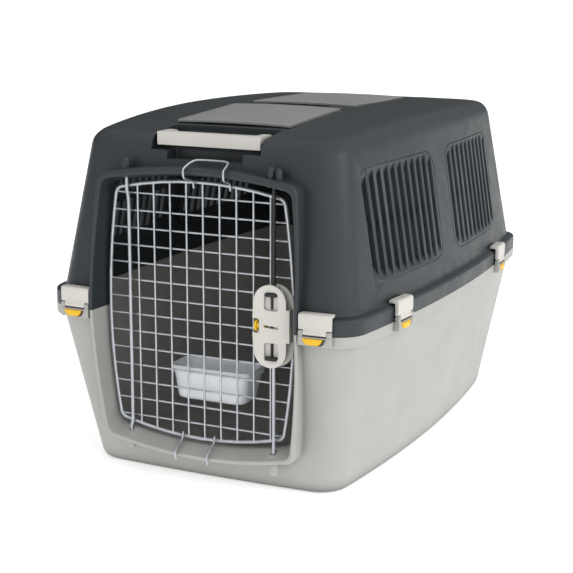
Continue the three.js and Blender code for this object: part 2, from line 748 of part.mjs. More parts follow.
const BOLT_INNER = 24;         // inner end of each bolt, from the middle of the lock
const SPRING_START = 1.5;
const GRIP_UP = 43;            // middle of each finger grip, likewise

function bolt(side) {
  const inner = [BOLT_X, BOLT_Y, LOCK_Z + side * BOLT_INNER];
  const outer = [BOLT_X, BOLT_Y, SEAM + side * ROD_REACH];
  return rod(inner, outer, ROD_RADIUS);
}

// A T-shaped finger grip: a crossbar and a stem with a collar that clips round the bolt.
function boltGrip(side) {
  const span = (a, b) => [Math.min(side * a, side * b), Math.max(side * a, side * b)];
  const [barLow, barHigh] = span(GRIP_UP - 2.5, GRIP_UP + 3);
  const [stemLow, stemHigh] = span(GRIP_UP - 16, GRIP_UP);
  const [collarLow, collarHigh] = span(GRIP_UP - 8, GRIP_UP + 3);
  return block([BOLT_X - 8.5, LOCK_FRONT - 4, LOCK_Z + barLow], [BOLT_X + 8.5, BOLT_Y - 3, LOCK_Z + barHigh])
    .add(block([BOLT_X - 2, LOCK_FRONT + 2, LOCK_Z + stemLow], [BOLT_X + 2, BOLT_Y - 3, LOCK_Z + stemHigh]))
    .add(block([BOLT_X - 5, BOLT_Y - 4.5, LOCK_Z + collarLow], [BOLT_X + 5, BOLT_Y + 1.5, LOCK_Z + collarHigh]))
    .subtract(rod([BOLT_X, BOLT_Y, LOCK_Z - 60], [BOLT_X, BOLT_Y, LOCK_Z + 60], ROD_RADIUS + FIT));
}

// The springs that drive the bolts apart, one from the middle of the lock to each bolt.
function lockSpring(side) {
  const turns = 5;
  const steps = turns * 6;
  const points = [];
  for (let i = 0; i <= steps; i += 1) {
    const angle = (i * Math.PI) / 3;
    const reach = SPRING_START + ((BOLT_INNER - 1 - SPRING_START) * i) / steps;
    points.push([
      BOLT_X + 1.9 * Math.cos(angle), BOLT_Y + 1.9 * Math.sin(angle), LOCK_Z + side * reach,
    ]);
  }
  return wire(points, 0.5, steps, 4);
}

// The yellow safety knob: a disc on a stub that slides into the side of the lock.
function safetyKnob() {
  return rod([KNOB_X - 1.5, KNOB_Y, LOCK_Z], [KNOB_X + 1.5, KNOB_Y, LOCK_Z], KNOB_RADIUS, 14)
    .add(rod([KNOB_X, KNOB_Y, LOCK_Z], [LOCK_X - 8, KNOB_Y, LOCK_Z], 2.4));
}

function addLock() {
  const back = plateXZ(lockOutline(LOCK_HALF_WIDTH + 3, LOCK_HALF_HEIGHT), LOCK_BACK - LOCK_PLATE, LOCK_BACK, 6);
  addPiece('lock_back_plate', geometryOf(back).translate(LOCK_X + 3, 0, LOCK_Z), 'light_grey');
  addPiece('lock_case', lockCase(), 'light_grey');
  addPiece('upper_bolt', bolt(1), 'zinc');
  addPiece('lower_bolt', bolt(-1), 'zinc');
  addPiece('upper_bolt_grip', boltGrip(1), 'black');
  addPiece('lower_bolt_grip', boltGrip(-1), 'black');
  addPiece('upper_spring', lockSpring(1), 'zinc');
  addPiece('lower_spring', lockSpring(-1), 'zinc');
  addPiece('safety_knob', safetyKnob(), 'yellow');
}

// ---------- bowl ----------
// A rounded tub with a turned-out rim, hung against the inside of the door mesh.
const BOWL_X = 2.5;

function bowlRing(halfWidth, front, back, height) {
  const radius = 16;
  const points = [];
  for (let corner = 0; corner < 4; corner += 1) {
    const x = corner === 0 || corner === 3 ? halfWidth - radius : radius - halfWidth;
    const y = corner < 2 ? back - radius : front + radius;
    for (let step = 0; step <= 4; step += 1) {
      const angle = (corner + step / 4) * (Math.PI / 2);
      points.push([BOWL_X + x + radius * Math.cos(angle), y + radius * Math.sin(angle), height]);
    }
  }
  return points;
}

function bowl() {
  const front = DOOR_Y + 7;
  const back = front + 64;
  const rim = SEAM - 82;
  const base = SEAM - 130;
  const outer = loft([
    bowlRing(54, front + 3, back - 6, base), bowlRing(60, front + 2, back - 3, rim - 9),
    bowlRing(63, front, back, rim - 8), bowlRing(63, front, back, rim),
  ]);
  const inner = loft([
    bowlRing(51, front + 6, back - 9, base + 3), bowlRing(58, front + 5, back - 6, rim + 1),
  ]);
  return outer.subtract(inner);
}

// ---------- assembly ----------
addPiece('bottom_shell', bottomShell(), 'warm_grey');
addPiece('top_shell', topShell(), 'anthracite');
addClamps();
addRoof();
addHandles();
addDoor();
addLock();
addPiece('bowl', bowl(), 'clear_white');

export default carrier;
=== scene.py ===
import math
import bmesh
import bpy
from mathutils import Matrix, Vector


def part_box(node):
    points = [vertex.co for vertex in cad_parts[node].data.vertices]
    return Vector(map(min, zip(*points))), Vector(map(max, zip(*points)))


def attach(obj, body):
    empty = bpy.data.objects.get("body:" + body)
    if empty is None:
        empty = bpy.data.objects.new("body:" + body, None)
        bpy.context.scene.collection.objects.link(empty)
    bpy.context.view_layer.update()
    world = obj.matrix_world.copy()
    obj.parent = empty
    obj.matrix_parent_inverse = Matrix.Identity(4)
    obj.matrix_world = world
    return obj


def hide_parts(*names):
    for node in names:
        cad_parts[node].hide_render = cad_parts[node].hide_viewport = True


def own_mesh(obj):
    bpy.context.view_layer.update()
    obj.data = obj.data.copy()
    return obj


# The pet carrier's visual model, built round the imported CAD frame. Shapes are worked out in
# millimetres and made in metres: +Z up, the door towards -Y, the floor at Z = 0.
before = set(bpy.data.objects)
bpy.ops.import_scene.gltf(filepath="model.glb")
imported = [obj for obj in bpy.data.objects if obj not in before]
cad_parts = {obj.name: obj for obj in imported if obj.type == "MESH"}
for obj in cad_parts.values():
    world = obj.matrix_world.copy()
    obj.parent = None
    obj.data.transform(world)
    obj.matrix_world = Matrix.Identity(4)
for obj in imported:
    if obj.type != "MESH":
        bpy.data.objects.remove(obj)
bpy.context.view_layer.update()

MM = 0.001
SPLIT = round(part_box("top_shell")[0][2] / MM)  # height of the joint between the half shells
SEAM = SPLIT + 4  # the clamp pins' level; most heights count from here
HALF_WIDTH = 261
HALF_DEPTH = 375
CORNER_RADIUS = 34
SIDE_BOW = 0.1
END_BOW = 0.02
WALL = 3
SEAM_GAP = 0.25  # half the gap at the joint
HAIR = 0.01  # sets back faces that would otherwise share a plane
ROOF_RISE = 13  # dome of the roof along its length
ABOVE_ROOF = SEAM + 300

DOOR_Y = -341
FRAME_WIRE = 5.5
HINGE_X, HINGE_Y = -114.5, DOOR_Y - 5.5
BOLT_X, BOLT_Y = 113.5, DOOR_Y - 9
ROD_RADIUS = 2.6
ROD_REACH = 195


# ---------- meshes ----------
def solid(points, faces):
    """A closed mesh object from points in millimetres, with its faces pointing out."""
    mesh = bpy.data.meshes.new("solid")
    mesh.from_pydata([[value * MM for value in point] for point in points], [], faces)
    shape = bmesh.new()
    shape.from_mesh(mesh)
    bmesh.ops.recalc_face_normals(shape, faces=shape.faces)
    shape.to_mesh(mesh)
    shape.free()
    return show(bpy.data.objects.new("solid", mesh))


def show(thing):
    bpy.context.scene.collection.objects.link(thing)
    return thing


def centre_of(ring):
    return [sum(point[axis] for point in ring) / len(ring) for axis in range(3)]


def loft(rings, closed=False):
    """A skin through a stack of rings, joined end to end or closed by a fan at each end."""
    count = len(rings[0])
    points = [point for ring in rings for point in ring]
    faces = []
    for level in range(len(rings) if closed else len(rings) - 1):
        low = level * count
        high = (level + 1) % len(rings) * count
        for i in range(count):
            j = (i + 1) % count
            faces.append((low + i, low + j, high + j, high + i))
    if not closed:
        for start, ring in ((0, rings[0]), ((len(rings) - 1) * count, rings[-1])):
            points.append(centre_of(ring))
            faces += [(len(points) - 1, start + i, start + (i + 1) % count) for i in range(count)]
    return solid(points, faces)


def block(low, high):
    corners = [(x, y, z) for x in (low[0], high[0]) for y in (low[1], high[1]) for z in (low[2], high[2])]
    sides = [(0, 1, 3, 2), (4, 6, 7, 5), (0, 4, 5, 1), (2, 3, 7, 6), (0, 2, 6, 4), (1, 5, 7, 3)]
    return solid(corners, sides)


def prism(outline, low, high, axis):
    """A flat outline of two coordinates carried along an axis: 0 is X, 1 is Y and 2 is Z."""
    def place(point, along):
        spot = list(point)
        spot.insert(axis, along)
        return spot
    count = len(outline)
    points = [place(p, low) for p in outline] + [place(p, high) for p in outline]
    faces = [tuple(range(count)), tuple(range(count, 2 * count))]
    faces += [(i, (i + 1) % count, count + (i + 1) % count, count + i) for i in range(count)]
    return solid(points, faces)


def tube(path, radius, sides=14, closed=False, tip=0.5):
    """A round wire along a list of points, with rounded ends where it is open."""
    spots = [Vector(point) for point in path]
    count = len(spots)
    rings = []
    across = None
    for i, spot in enumerate(spots):
        before = spots[i - 1] if closed or i else spots[0]
        after = spots[(i + 1) % count] if closed or i + 1 < count else spots[-1]
        along = (after - before).normalized()
        if across is None:
            across = along.orthogonal().normalized()
        across = (across - along * across.dot(along)).normalized()
        other = along.cross(across)
        rings.append((spot, along, across, other, radius))
    if not closed:
        first, last = rings[0], rings[-1]
        rings.insert(0, (first[0] - first[1] * radius * tip, *first[1:4], radius * 0.55))
        rings.append((last[0] + last[1] * radius * tip, *last[1:4], radius * 0.55))
    turns = [2 * math.pi * i / sides for i in range(sides)]
    return loft([[spot + (across * math.cos(t) + other * math.sin(t)) * size for t in turns]
                 for spot, _, across, other, size in rings], closed=closed)


def rod(start, end, radius, sides=24):
    return tube([start, end], radius, sides, tip=0)


def rod_across(reach, y, z, radius):
    """A rod along X, reaching equally far to both sides."""
    return rod((-reach, y, z), (reach, y, z), radius)


def lathe(profile, centre, axis, sides=32):
    """A turned solid: the profile holds radii and places along the axis."""
    def place(radius, along, turn):
        spot = [radius * math.cos(turn), radius * math.sin(turn)]
        spot.insert(axis, along)
        return [value + middle for value, middle in zip(spot, centre)]
    turns = [2 * math.pi * i / sides for i in range(sides)]
    return loft([[place(radius, along, turn) for turn in turns] for radius, along in profile])


def together(solids):
    """Several solids that don't touch, as one object."""
    first, rest = solids[0], solids[1:]
    shape = bmesh.new()
    for part in solids:
        shape.from_mesh(part.data)
    shape.to_mesh(first.data)
    shape.free()
    for part in rest:
        bpy.data.objects.remove(part)
    return first


def settle(target):
    """Applies the object's modifiers to its mesh."""
    graph = bpy.context.evaluated_depsgraph_get()
    mesh = bpy.data.meshes.new_from_object(target.evaluated_get(graph))
    target.modifiers.clear()
    target.data = mesh
    return target


def combine(target, others, operation):
    for other in others:
        step = target.modifiers.new(operation.lower(), "BOOLEAN")
        step.operation = operation
        step.solver = "MANIFOLD"
        step.object = other
        other.hide_render = True
    settle(target)
    for other in others:
        bpy.data.objects.remove(other)
    return target


def add(target, *others):
    return combine(target, others, "UNION")


def cut(target, *others):
    return combine(target, others, "DIFFERENCE")


def keep(target, other):
    return combine(target, [other], "INTERSECT")


def round_edges(target, width, segments=3, angle=35):
    bevel = target.modifiers.new("bevel", "BEVEL")
    bevel.width = width * MM
    bevel.segments = segments
    bevel.limit_method = "ANGLE"
    bevel.angle_limit = math.radians(angle)
    bevel.miter_outer = "MITER_ARC"
    return settle(target)


def piece(target, name, finish, body, nodes, smooth=32):
    """Finishes a solid: its name, material, smooth shading, body and the CAD nodes it stands for."""
    target.name = name
    target.data.name = name
    target.data.materials.clear()
    target.data.materials.append(FINISHES[finish])
    for face in target.data.polygons:
        face.use_smooth = True
    target.data.set_sharp_from_angle(angle=math.radians(smooth))
    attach(target, body)
    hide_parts(*nodes)
    return target


# ---------- curves ----------
def rounded(points, radius, steps=8):
    """A line of straight runs with its inner corners rounded. Each point may name its own radius."""
    line = [list(points[0][:2])]
    for before, here, after in zip(points, points[1:], points[2:]):
        size = here[2] if len(here) > 2 else radius
        corner = Vector(here[:2])
        back = Vector(before[:2]) - corner
        ahead = Vector(after[:2]) - corner
        start = corner + back.normalized() * min(size, back.length * 0.48)
        end = corner + ahead.normalized() * min(size, ahead.length * 0.48)
        for step in range(steps + 1):
            t = step / steps
            line.append(list(start * (1 - t) ** 2 + corner * 2 * t * (1 - t) + end * t ** 2))
    line.append(list(points[-1][:2]))
    return line


def ring_of(points, radius, steps=6):
    """A closed outline with every corner rounded."""
    turned = [*points[-1:], *points, points[0]]
    return rounded(turned, radius, steps)[1:-1]


def rounded_box(low, high, radius, steps=6):
    """A closed rectangular outline between two opposite corners, with its corners rounded."""
    corners = [(low[0], low[1]), (high[0], low[1]), (high[0], high[1]), (low[0], high[1])]
    return ring_of(corners, radius, steps)


def smooth_path(points, steps=6, tension=0.5):
    """A Catmull-Rom curve through points in space."""
    spots = [Vector(point) for point in points]
    spots = [spots[0] * 2 - spots[1], *spots, spots[-1] * 2 - spots[-2]]
    path = []
    for a, b, c, d in zip(spots, spots[1:], spots[2:], spots[3:]):
        for step in range(steps):
            t = step / steps
            start = (c - a) * tension
            end = (d - b) * tension
            path.append(b * (2 * t ** 3 - 3 * t ** 2 + 1) + start * (t ** 3 - 2 * t ** 2 + t)
                        + c * (3 * t ** 2 - 2 * t ** 3) + end * (t ** 3 - t ** 2))
    path.append(spots[-2])
    return path


# ---------- shell outlines ----------
ARC_STEPS = 10
SIDE_STEPS = 18


def plan_ring(inset, height):
    """The plan of a shell at one height: a rounded rectangle with bowed sides and ends."""
    half_width = HALF_WIDTH - inset
    half_depth = HALF_DEPTH - inset
    radius = min(CORNER_RADIUS, half_width * 0.6)
    straight_x = half_width - radius
    straight_y = half_depth - radius
    points = []
    for corner in range(4):
        sign_x = 1 if corner in (0, 3) else -1
        sign_y = 1 if corner < 2 else -1
        for step in range(ARC_STEPS + 1):
            angle = (corner + step / ARC_STEPS) * math.pi / 2
            points.append((sign_x * straight_x + radius * math.cos(angle),
                           sign_y * straight_y + radius * math.sin(angle)))
        for step in range(1, SIDE_STEPS):
            t = 1 - 2 * step / SIDE_STEPS
            run = [(straight_x * t, half_depth), (-half_width, straight_y * t),
                   (-straight_x * t, -half_depth), (half_width, -straight_y * t)]
            points.append(run[corner])
    return [(x * (1 - SIDE_BOW * (y / half_depth) ** 2),
             y * (1 - END_BOW * (x / half_width) ** 2), height + roof_rise(y, height)) for x, y in points]


def roof_rise(y, height):
    """How far the roof is domed along its length. The walls below it keep their height."""
    share = min(1, max(0, (height - SEAM - 200) / 40))
    reach = 300 if y < 0 else 424
    return ROOF_RISE * share * max(0, 1 - (y / reach) ** 2)


def shell_loft(profile):
    return loft([plan_ring(inset, height) for inset, height in profile])


def barrel(middle, top_half, bottom_half, top, top_crown, bottom, bottom_crown, corner, steps=8):
    """The door's barrel outline about its centre: X, and height from the seam."""
    top_edge = top - top_crown
    bottom_edge = bottom + bottom_crown
    start = (top_half - corner, top_edge + 1)
    curves = [
        ((0, 2 * top - top_edge), (corner - top_half, top_edge + 1)),
        ((-top_half, top_edge), (-top_half - 1, top_edge - corner)),
        ((-middle, (top_edge - corner) / 2), (-middle, 0)),
        ((-middle, (bottom_edge + corner) / 2), (-bottom_half - 1, bottom_edge + corner)),
        ((-bottom_half, bottom_edge), (corner - bottom_half, bottom_edge - 1)),
        ((0, 2 * bottom - bottom_edge), (bottom_half - corner, bottom_edge - 1)),
        ((bottom_half, bottom_edge), (bottom_half + 1, bottom_edge + corner)),
        ((middle, (bottom_edge + corner) / 2), (middle, 0)),
        ((middle, (top_edge - corner) / 2), (top_half + 1, top_edge - corner)),
        ((top_half, top_edge), start),
    ]
    line = []
    for control, end in curves:
        for step in range(steps):
            t = step / steps
            line.append(tuple(a * (1 - t) ** 2 + 2 * b * t * (1 - t) + c * t ** 2
                              for a, b, c in zip(start, control, end)))
        start = end
    return line


DOOR = dict(middle=149, top_half=137, bottom_half=134, top=184, top_crown=13, bottom=-184,
            bottom_crown=15, corner=13)
DOOR_FRAME = dict(DOOR, middle=146, top_half=133, bottom_half=132)
FRAME_X = -4.5  # the frame sits a little towards its hinge side
RIM_OUTER = dict(DOOR, middle=161, top_half=152, bottom_half=149, top=203, bottom=-206)
RIM_MOUTH = dict(DOOR, middle=156, top_half=145, bottom_half=143, top=194, bottom=-200)
RIM_FRONT = -380
RIM_SLOPE = 0.085
JAMB_BACK = -331


def grown(outline, amount):
    sides = {key: outline[key] + amount for key in ("middle", "top_half", "bottom_half", "top")}
    return dict(outline, **sides, bottom=outline["bottom"] - amount)


def rim_front(height):
    return RIM_FRONT + RIM_SLOPE * abs(height)


def outline_ring(outline, depth):
    return [(x, depth(h), SEAM + h) for x, h in barrel(**outline)]


def door_surround():
    """The raised surround: its outer side, rounded front edge and the jamb that leads to the door."""
    outer, inner = 4.0, 2.4
    rings = [outline_ring(RIM_OUTER, lambda h: JAMB_BACK)]
    for step in range(6):
        turn = step / 5 * math.pi / 2
        shrink = outer * (1 - math.cos(turn))
        sink = outer * (1 - math.sin(turn))
        rings.append(outline_ring(grown(RIM_OUTER, -shrink * 0.6), lambda h: rim_front(h) + sink))
    for step in range(6):
        turn = step / 5 * math.pi / 2
        spread = inner * (1 - math.sin(turn))
        sink = inner * (1 - math.cos(turn))
        rings.append(outline_ring(grown(RIM_MOUTH, spread), lambda h: rim_front(h) + sink))
    rings.append(outline_ring(grown(DOOR, 5.4), lambda h: DOOR_Y - 1))
    rings.append(outline_ring(grown(DOOR, 5), lambda h: JAMB_BACK))
    return loft(rings, closed=True)


def door_hole():
    return loft([
        outline_ring(grown(RIM_MOUTH, 1), lambda h: RIM_FRONT - 30),
        outline_ring(grown(RIM_MOUTH, 1), rim_front),
        outline_ring(grown(DOOR, 6), lambda h: DOOR_Y - 1),
        outline_ring(grown(DOOR, 6), lambda h: -290),
    ])


def half_space(side):
    """Everything above or below the joint between the shells."""
    inner = SPLIT + side * SEAM_GAP
    low, high = sorted((inner, inner + side * 600))
    return block((-400, -500, low), (400, 500, high))


def rod_boss(x, y, side, length, radius):
    """A bullet-shaped boss over or under the door that holds the end of a rod."""
    start, end = SEAM + side * 184, SEAM + side * (184 + length)
    profile = [(radius, start), (radius, end - side * 8), (radius * 0.86, end - side * 4),
               (radius * 0.6, end - side * 1.2), (radius * 0.2, end)]
    return lathe(profile, (x, y, 0), 2)


def rod_bosses(side):
    spots = [(HINGE_X, HINGE_Y, 27, 6.4)]
    if side < 0:
        spots.append((BOLT_X, BOLT_Y, 31, 6.8))
    else:
        spots += [(BOLT_X - 5, BOLT_Y, 27, 5.6), (BOLT_X + 6, BOLT_Y + 2, 25, 5.6)]
    return [rod_boss(x, y, side, length, radius) for x, y, length, radius in spots]


def rod_bores():
    reach = ROD_REACH + 2
    return [rod((x, y, SEAM - reach), (x, y, SEAM + reach), 3.6)
            for x, y in ((HINGE_X, HINGE_Y), (BOLT_X, BOLT_Y))]


# ---------- bottom shell ----------
def bottom_shell():
    outer = shell_loft(rounded([(66, 0), (48.5, 0, 13), (9, 221, 1.5), (0, 223.5, 3.5), (0, SEAM)], 3))
    cavity = shell_loft(rounded([(69, WALL), (51.5, WALL, 13), (12, 221), (11, SEAM + 1)], 3))
    surround = keep(door_surround(), half_space(-1))
    shell = cut(outer, cavity, door_hole())
    shell = keep(add(shell, surround, *rod_bosses(-1)), half_space(-1))
    shell = cut(shell, *rod_bores(), clamp_seat_room())
    shell = add(shell, *[placed(clamp_seat(), place) for place in clamp_places()])
    return piece(shell, "bottom_shell_skin", "warm_grey", "shells", ["bottom_shell"])


def clamp_seat_room():
    """A fine groove on each side of each clamp seat, where the flange band is broken."""
    grooves = []
    for place in clamp_places():
        for side in (-1, 1):
            x = side * (CLAMP_WIDTH / 2 + 1)
            grooves.append(placed(block((x - 0.7, -3, -21), (x + 0.7, 1.6, 0)), place))
    return together(grooves)


# ---------- clamps ----------
CLAMP_WIDTH = 46
SIDE_CLAMP_FRONT = -232
SIDE_CLAMP_REAR = 200
END_CLAMP_X = 185
PIVOT_OUT = 4
TAB_ASIDE = 2.3
TAB_DROP = 10.7  # the tab's middle is this far below the clamp's pin


def clamp_places():
    """The eight places on the flange, each with the turn that makes -Y face outward."""
    places = []
    for side, hand in ((-1, "left"), (1, "right")):
        for label, y in (("front", SIDE_CLAMP_FRONT), ("rear", SIDE_CLAMP_REAR)):
            lean = math.atan(2 * SIDE_BOW * HALF_WIDTH * y / HALF_DEPTH ** 2)
            x = side * HALF_WIDTH * (1 - SIDE_BOW * (y / HALF_DEPTH) ** 2)
            places.append((f"{hand}_side_{label}", x, y, side * (math.pi / 2 + lean)))
        for label, end in (("front", -1), ("rear", 1)):
            x = side * END_CLAMP_X
            lean = math.atan(2 * END_BOW * HALF_DEPTH * x / HALF_WIDTH ** 2)
            y = end * HALF_DEPTH * (1 - END_BOW * (x / HALF_WIDTH) ** 2)
            places.append((f"{label}_{hand}", x, y, lean if end < 0 else math.pi - lean))
    return places


def placed(target, place):
    _, x, y, turn = place
    target.data.transform(Matrix.Translation((x * MM, y * MM, SEAM * MM)) @ Matrix.Rotation(turn, 4, "Z"))
    return target


def lens(half_width, rise, drop, aside=0):
    """A flat-topped half lens at the tab's height, drawn in X and Z."""
    line = rounded([(-half_width + 1, rise), (-half_width, rise, 1.5), (-half_width * 0.7, -drop, 5),
                    (half_width * 0.7, -drop, 5), (half_width, rise, 1.5), (half_width - 1, rise)], 2)
    return [(x - aside, z - TAB_DROP) for x, z in line]


def clamp_seat():
    """The seat moulded on the lower flange: a block with a pocket for the tab and two pin ears."""
    half = CLAMP_WIDTH / 2
    section = rounded([(3, -17.2), (-6, -17.2, 2), (-8, -15, 2), (-8, -4.6, 0.8), (3, -4.6)], 1)
    seat = prism(section, -half, half, 0)
    tab_room = prism(lens(17, 4.6, 5), -12, -3.6, 1)
    ears = [add(block((x, -7, -5), (x + 6, -1, 0)), rod((x, -PIVOT_OUT, 0), (x + 6, -PIVOT_OUT, 0), 3.4))
            for x in (-half, half - 6)]
    return round_edges(add(cut(seat, tab_room), *ears), 0.5, 2)


def clamp_arm():
    """The swinging clamp: a crowned plate over the flange face with a lip over its top."""
    half = CLAMP_WIDTH / 2
    section = rounded([(-1, 4.2), (-5.6, 4.2, 1.2), (-6.2, 14, 10), (-6, 25.5, 4), (8.5, 25.5, 1),
                       (8.5, 21.5, 1), (-1, 21.5, 2), (-1, 4.2)], 1)[:-1]
    plate = prism(section, -half, half, 0)
    knuckle = add(rod_across(16.5, -PIVOT_OUT, 0, 3.4), block((-16.5, -6, 0), (16.5, -1, 6)))
    return round_edges(add(plate, knuckle), 0.9, 3)


def clamp_tab():
    body = prism(lens(14.4, 4.2, 4.4, TAB_ASIDE), -9, -4, 1)
    ridge = prism(lens(11.6, 3, 3, TAB_ASIDE), -9.8, -8.8, 1)
    return round_edges(add(body, ridge), 0.6, 3)


def make_clamps():
    for place in clamp_places():
        name = place[0]
        for node, made, finish in ((f"clamp_{name}", clamp_arm(), "light_grey"),
                                   (f"clamp_tab_{name}", clamp_tab(), "yellow")):
            piece(placed(made, place), f"{node}_skin", finish, node, [node])
        pin = rod_across(CLAMP_WIDTH / 2 - 0.5, -PIVOT_OUT, 0, 1.3)
        piece(placed(pin, place), f"clamp_pin_{name}_skin", "zinc", "shells", [f"clamp_pin_{name}"])


# ---------- top shell ----------
WALL_FOOT, WALL_HEAD = (11.2, 24), (43.5, 224)  # inset and height of the side wall's two ends


def top_profile(inward, drop):
    return [(inset + inward, SEAM + height - drop, *size) for inset, height, *size in (
        (*WALL_FOOT, 2), (46.5, 242, 22), (112, 245.8, 30), (200, 247.2, 30), (240, 247.6))]


def top_shell():
    flange = [(0, SPLIT), (0, SEAM + 17.6, 4), (10, SEAM + 20.4, 1.6)]
    outer = shell_loft(rounded([*flange, *top_profile(0, 0)], 3))
    inner = rounded([(11, SPLIT - 1), *top_profile(WALL, WALL)], 3)
    cavity = cut(shell_loft(inner), *roof_pockets(WALL), *lid_seats(), *vent_backing())
    shell = cut(outer, cavity, door_hole())
    surround = keep(door_surround(), half_space(1))
    shell = keep(add(shell, surround, *rod_bosses(1)), half_space(1))
    shell = cut(shell, *rod_bores(), *roof_pockets(0), *vent_slots(), vent_grooves())
    shell = add(shell, *handle_pads())
    shell = cut(shell, *hinge_bores())
    return piece(shell, "top_shell_skin", "anthracite", "shells", ["top_shell"])


# ---------- roof ----------
LIDS = {
    "front": dict(start=-249, end=-71, low=SEAM + 250.5, high=SEAM + 258.7),
    "rear": dict(start=-12, end=194, low=SEAM + 258.2, high=SEAM + 255.5),
}
LID_HALF_WIDTH = 88
LID_THICKNESS = 4
LID_CROWN = 1.6
HANDLE_Y = 322
HANDLE_TOP = SEAM + 245
HANDLE_PIN_Y = 289
HANDLE_PIN_Z = SEAM + 238
POCKET_HALF_WIDTH = 84
POCKET_FLOOR = 221  # height of the handle recess above the seam


def pocket(low, high, radius, margin):
    """A recess with upright rounded corners, as a cutter."""
    near = [value - margin for value in low]
    far = [value + margin for value in high]
    return prism(rounded_box(near, far, radius + margin, 5), near[2], high[2], 2)


def roof_pockets(margin):
    """The recesses under the lids, between them and for the hands behind the grips."""
    wide = LID_HALF_WIDTH - 5
    cutters = []
    for lid in LIDS.values():
        low, high = (-wide, lid["start"] + 4, SEAM + 224), (wide, lid["end"] - 8, ABOVE_ROOF)
        cutters.append(pocket(low, high, 10, margin))
    cutters.append(pocket((-50, -65, SEAM + 246), (50, -16, ABOVE_ROOF), 8, margin))
    half, floor = POCKET_HALF_WIDTH, SEAM + POCKET_FLOOR
    for end in (-1, 1):
        near, far = sorted((end * 261, end * 400))
        cutters.append(pocket((-half, near, floor), (half, far, ABOVE_ROOF), 4, margin))
        near, far = sorted((end * 308, end * 400))
        cutters.append(pocket((-58, near, floor - 12), (58, far, floor + 1), 3, margin))
    return cutters


def above_lid(lid, drop, half_width, spread):
    """The space a lid takes in the roof, from the drop below its underside upward."""
    start, end = lid["start"] - spread, lid["end"] + spread
    slope = (lid["high"] - lid["low"]) / (lid["end"] - lid["start"])
    front = lid["low"] - slope * spread - drop
    back = lid["high"] + slope * spread - drop
    section = [(start, front), (end, back), (end, ABOVE_ROOF), (start, ABOVE_ROOF)]
    return prism(section, -half_width, half_width, 0)


def lid_seats():
    """The thicker roof under the edges of the lids and round the grooves for their pins."""
    seats = []
    for lid in LIDS.values():
        y, z = lid_pin(lid)
        half = LID_HALF_WIDTH + 8
        seats.append(above_lid(lid, WALL, LID_HALF_WIDTH + 4, 3))
        seats.append(block((-half, y - 7.5, z - 7.5), (half, y + 10, ABOVE_ROOF)))
    return seats


def handle_pads():
    """The two raised pads behind each grip."""
    pads = []
    for end in (-1, 1):
        for side in (-1, 1):
            x = sorted((side * 8, side * 63))
            y = sorted((end * 258, end * 283))
            outline = rounded_box((x[0], y[0]), (x[1], y[1]), 6, 5)
            pads.append(round_edges(prism(outline, SEAM + POCKET_FLOOR - 2, SEAM + 241, 2), 3, 4))
    return pads


def lid_pin(lid):
    return lid["end"] - 4, lid["high"] - 1.6


def hinge_bores():
    bores = []
    for end in (-1, 1):
        y = end * HANDLE_PIN_Y
        bores.append(rod_across(87, y, HANDLE_PIN_Z, 2.4))
    for lid in LIDS.values():
        y, z = lid_pin(lid)
        reach = LID_HALF_WIDTH + 5
        bores.append(block((-reach, y - 4.5, z - 4.5), (reach, y + 7, z + 20)))
        bores.append(above_lid(lid, 0.5, LID_HALF_WIDTH + 1, 1))
    return bores


def lid_panel(lid):
    """A compartment lid: a thin panel crowned across its width, with a barrel for its pin."""
    y, z = lid_pin(lid)
    steps = 16
    start, end, low, high = lid["start"], lid["end"], lid["low"], lid["high"]
    section = rounded([(start + 1, low), (start, low, 1), (start, low + LID_THICKNESS, 1.6),
                       (end - 9, high + LID_THICKNESS, 20), (end - 2.5, high + LID_THICKNESS, 1.2),
                       (end - 3, high, 1), (end - 9, high)], 1)
    rings = []
    for step in range(steps + 1):
        x = LID_HALF_WIDTH * (2 * step / steps - 1)
        rise = LID_CROWN * (1 - (x / LID_HALF_WIDTH) ** 2)
        rings.append([(x, along, height + rise) for along, height in section])
    panel = round_edges(loft(rings), 0.7, 2)
    return add(panel, rod_across(LID_HALF_WIDTH - 6, y, z, 3.3))


def make_lids():
    for name, lid in LIDS.items():
        y, z = lid_pin(lid)
        piece(lid_panel(lid), f"{name}_lid_skin", "lid_grey", f"{name}_lid", [f"{name}_lid"])
        piece(rod_across(LID_HALF_WIDTH + 4, y, z, 1.6), f"{name}_lid_pin_skin", "zinc", "shells",
              [f"{name}_lid_pin"])


def handle(end):
    """A carrying handle: an angled grip plate and two arms that run back to the pin."""
    half, top = 79, HANDLE_TOP

    def along(*depths):
        return sorted(end * (HANDLE_Y - depth) for depth in depths)
    front, back = along(0, 5)
    grip = block((-half, front, top - 18), (half, back, top))
    front, back = along(0, 14)
    grip = add(grip, block((-half + HAIR, front + HAIR, top - 4), (half - HAIR, back - HAIR, top - HAIR)))
    for side in (-1, 1):
        x = sorted((side * 67, side * (half - 2 * HAIR)))
        front, back = along(2 * HAIR, HANDLE_Y - HANDLE_PIN_Y)
        arm = block((x[0], front, top - 10), (x[1], back, top - 2 * HAIR))
        pin = end * HANDLE_PIN_Y
        eye = rod((x[0], pin, HANDLE_PIN_Z), (x[1], pin, HANDLE_PIN_Z), 6.5)
        grip = add(grip, arm, eye)
    return round_edges(grip, 1.3, 3)


def make_handles():
    for name, end in (("front", -1), ("rear", 1)):
        y = end * HANDLE_PIN_Y
        piece(handle(end), f"{name}_handle_skin", "light_grey", f"{name}_handle", [f"{name}_handle"])
        piece(rod_across(86.5, y, HANDLE_PIN_Z, 1.9), f"{name}_handle_pin_skin", "zinc", "shells",
              [f"{name}_handle_pin"])


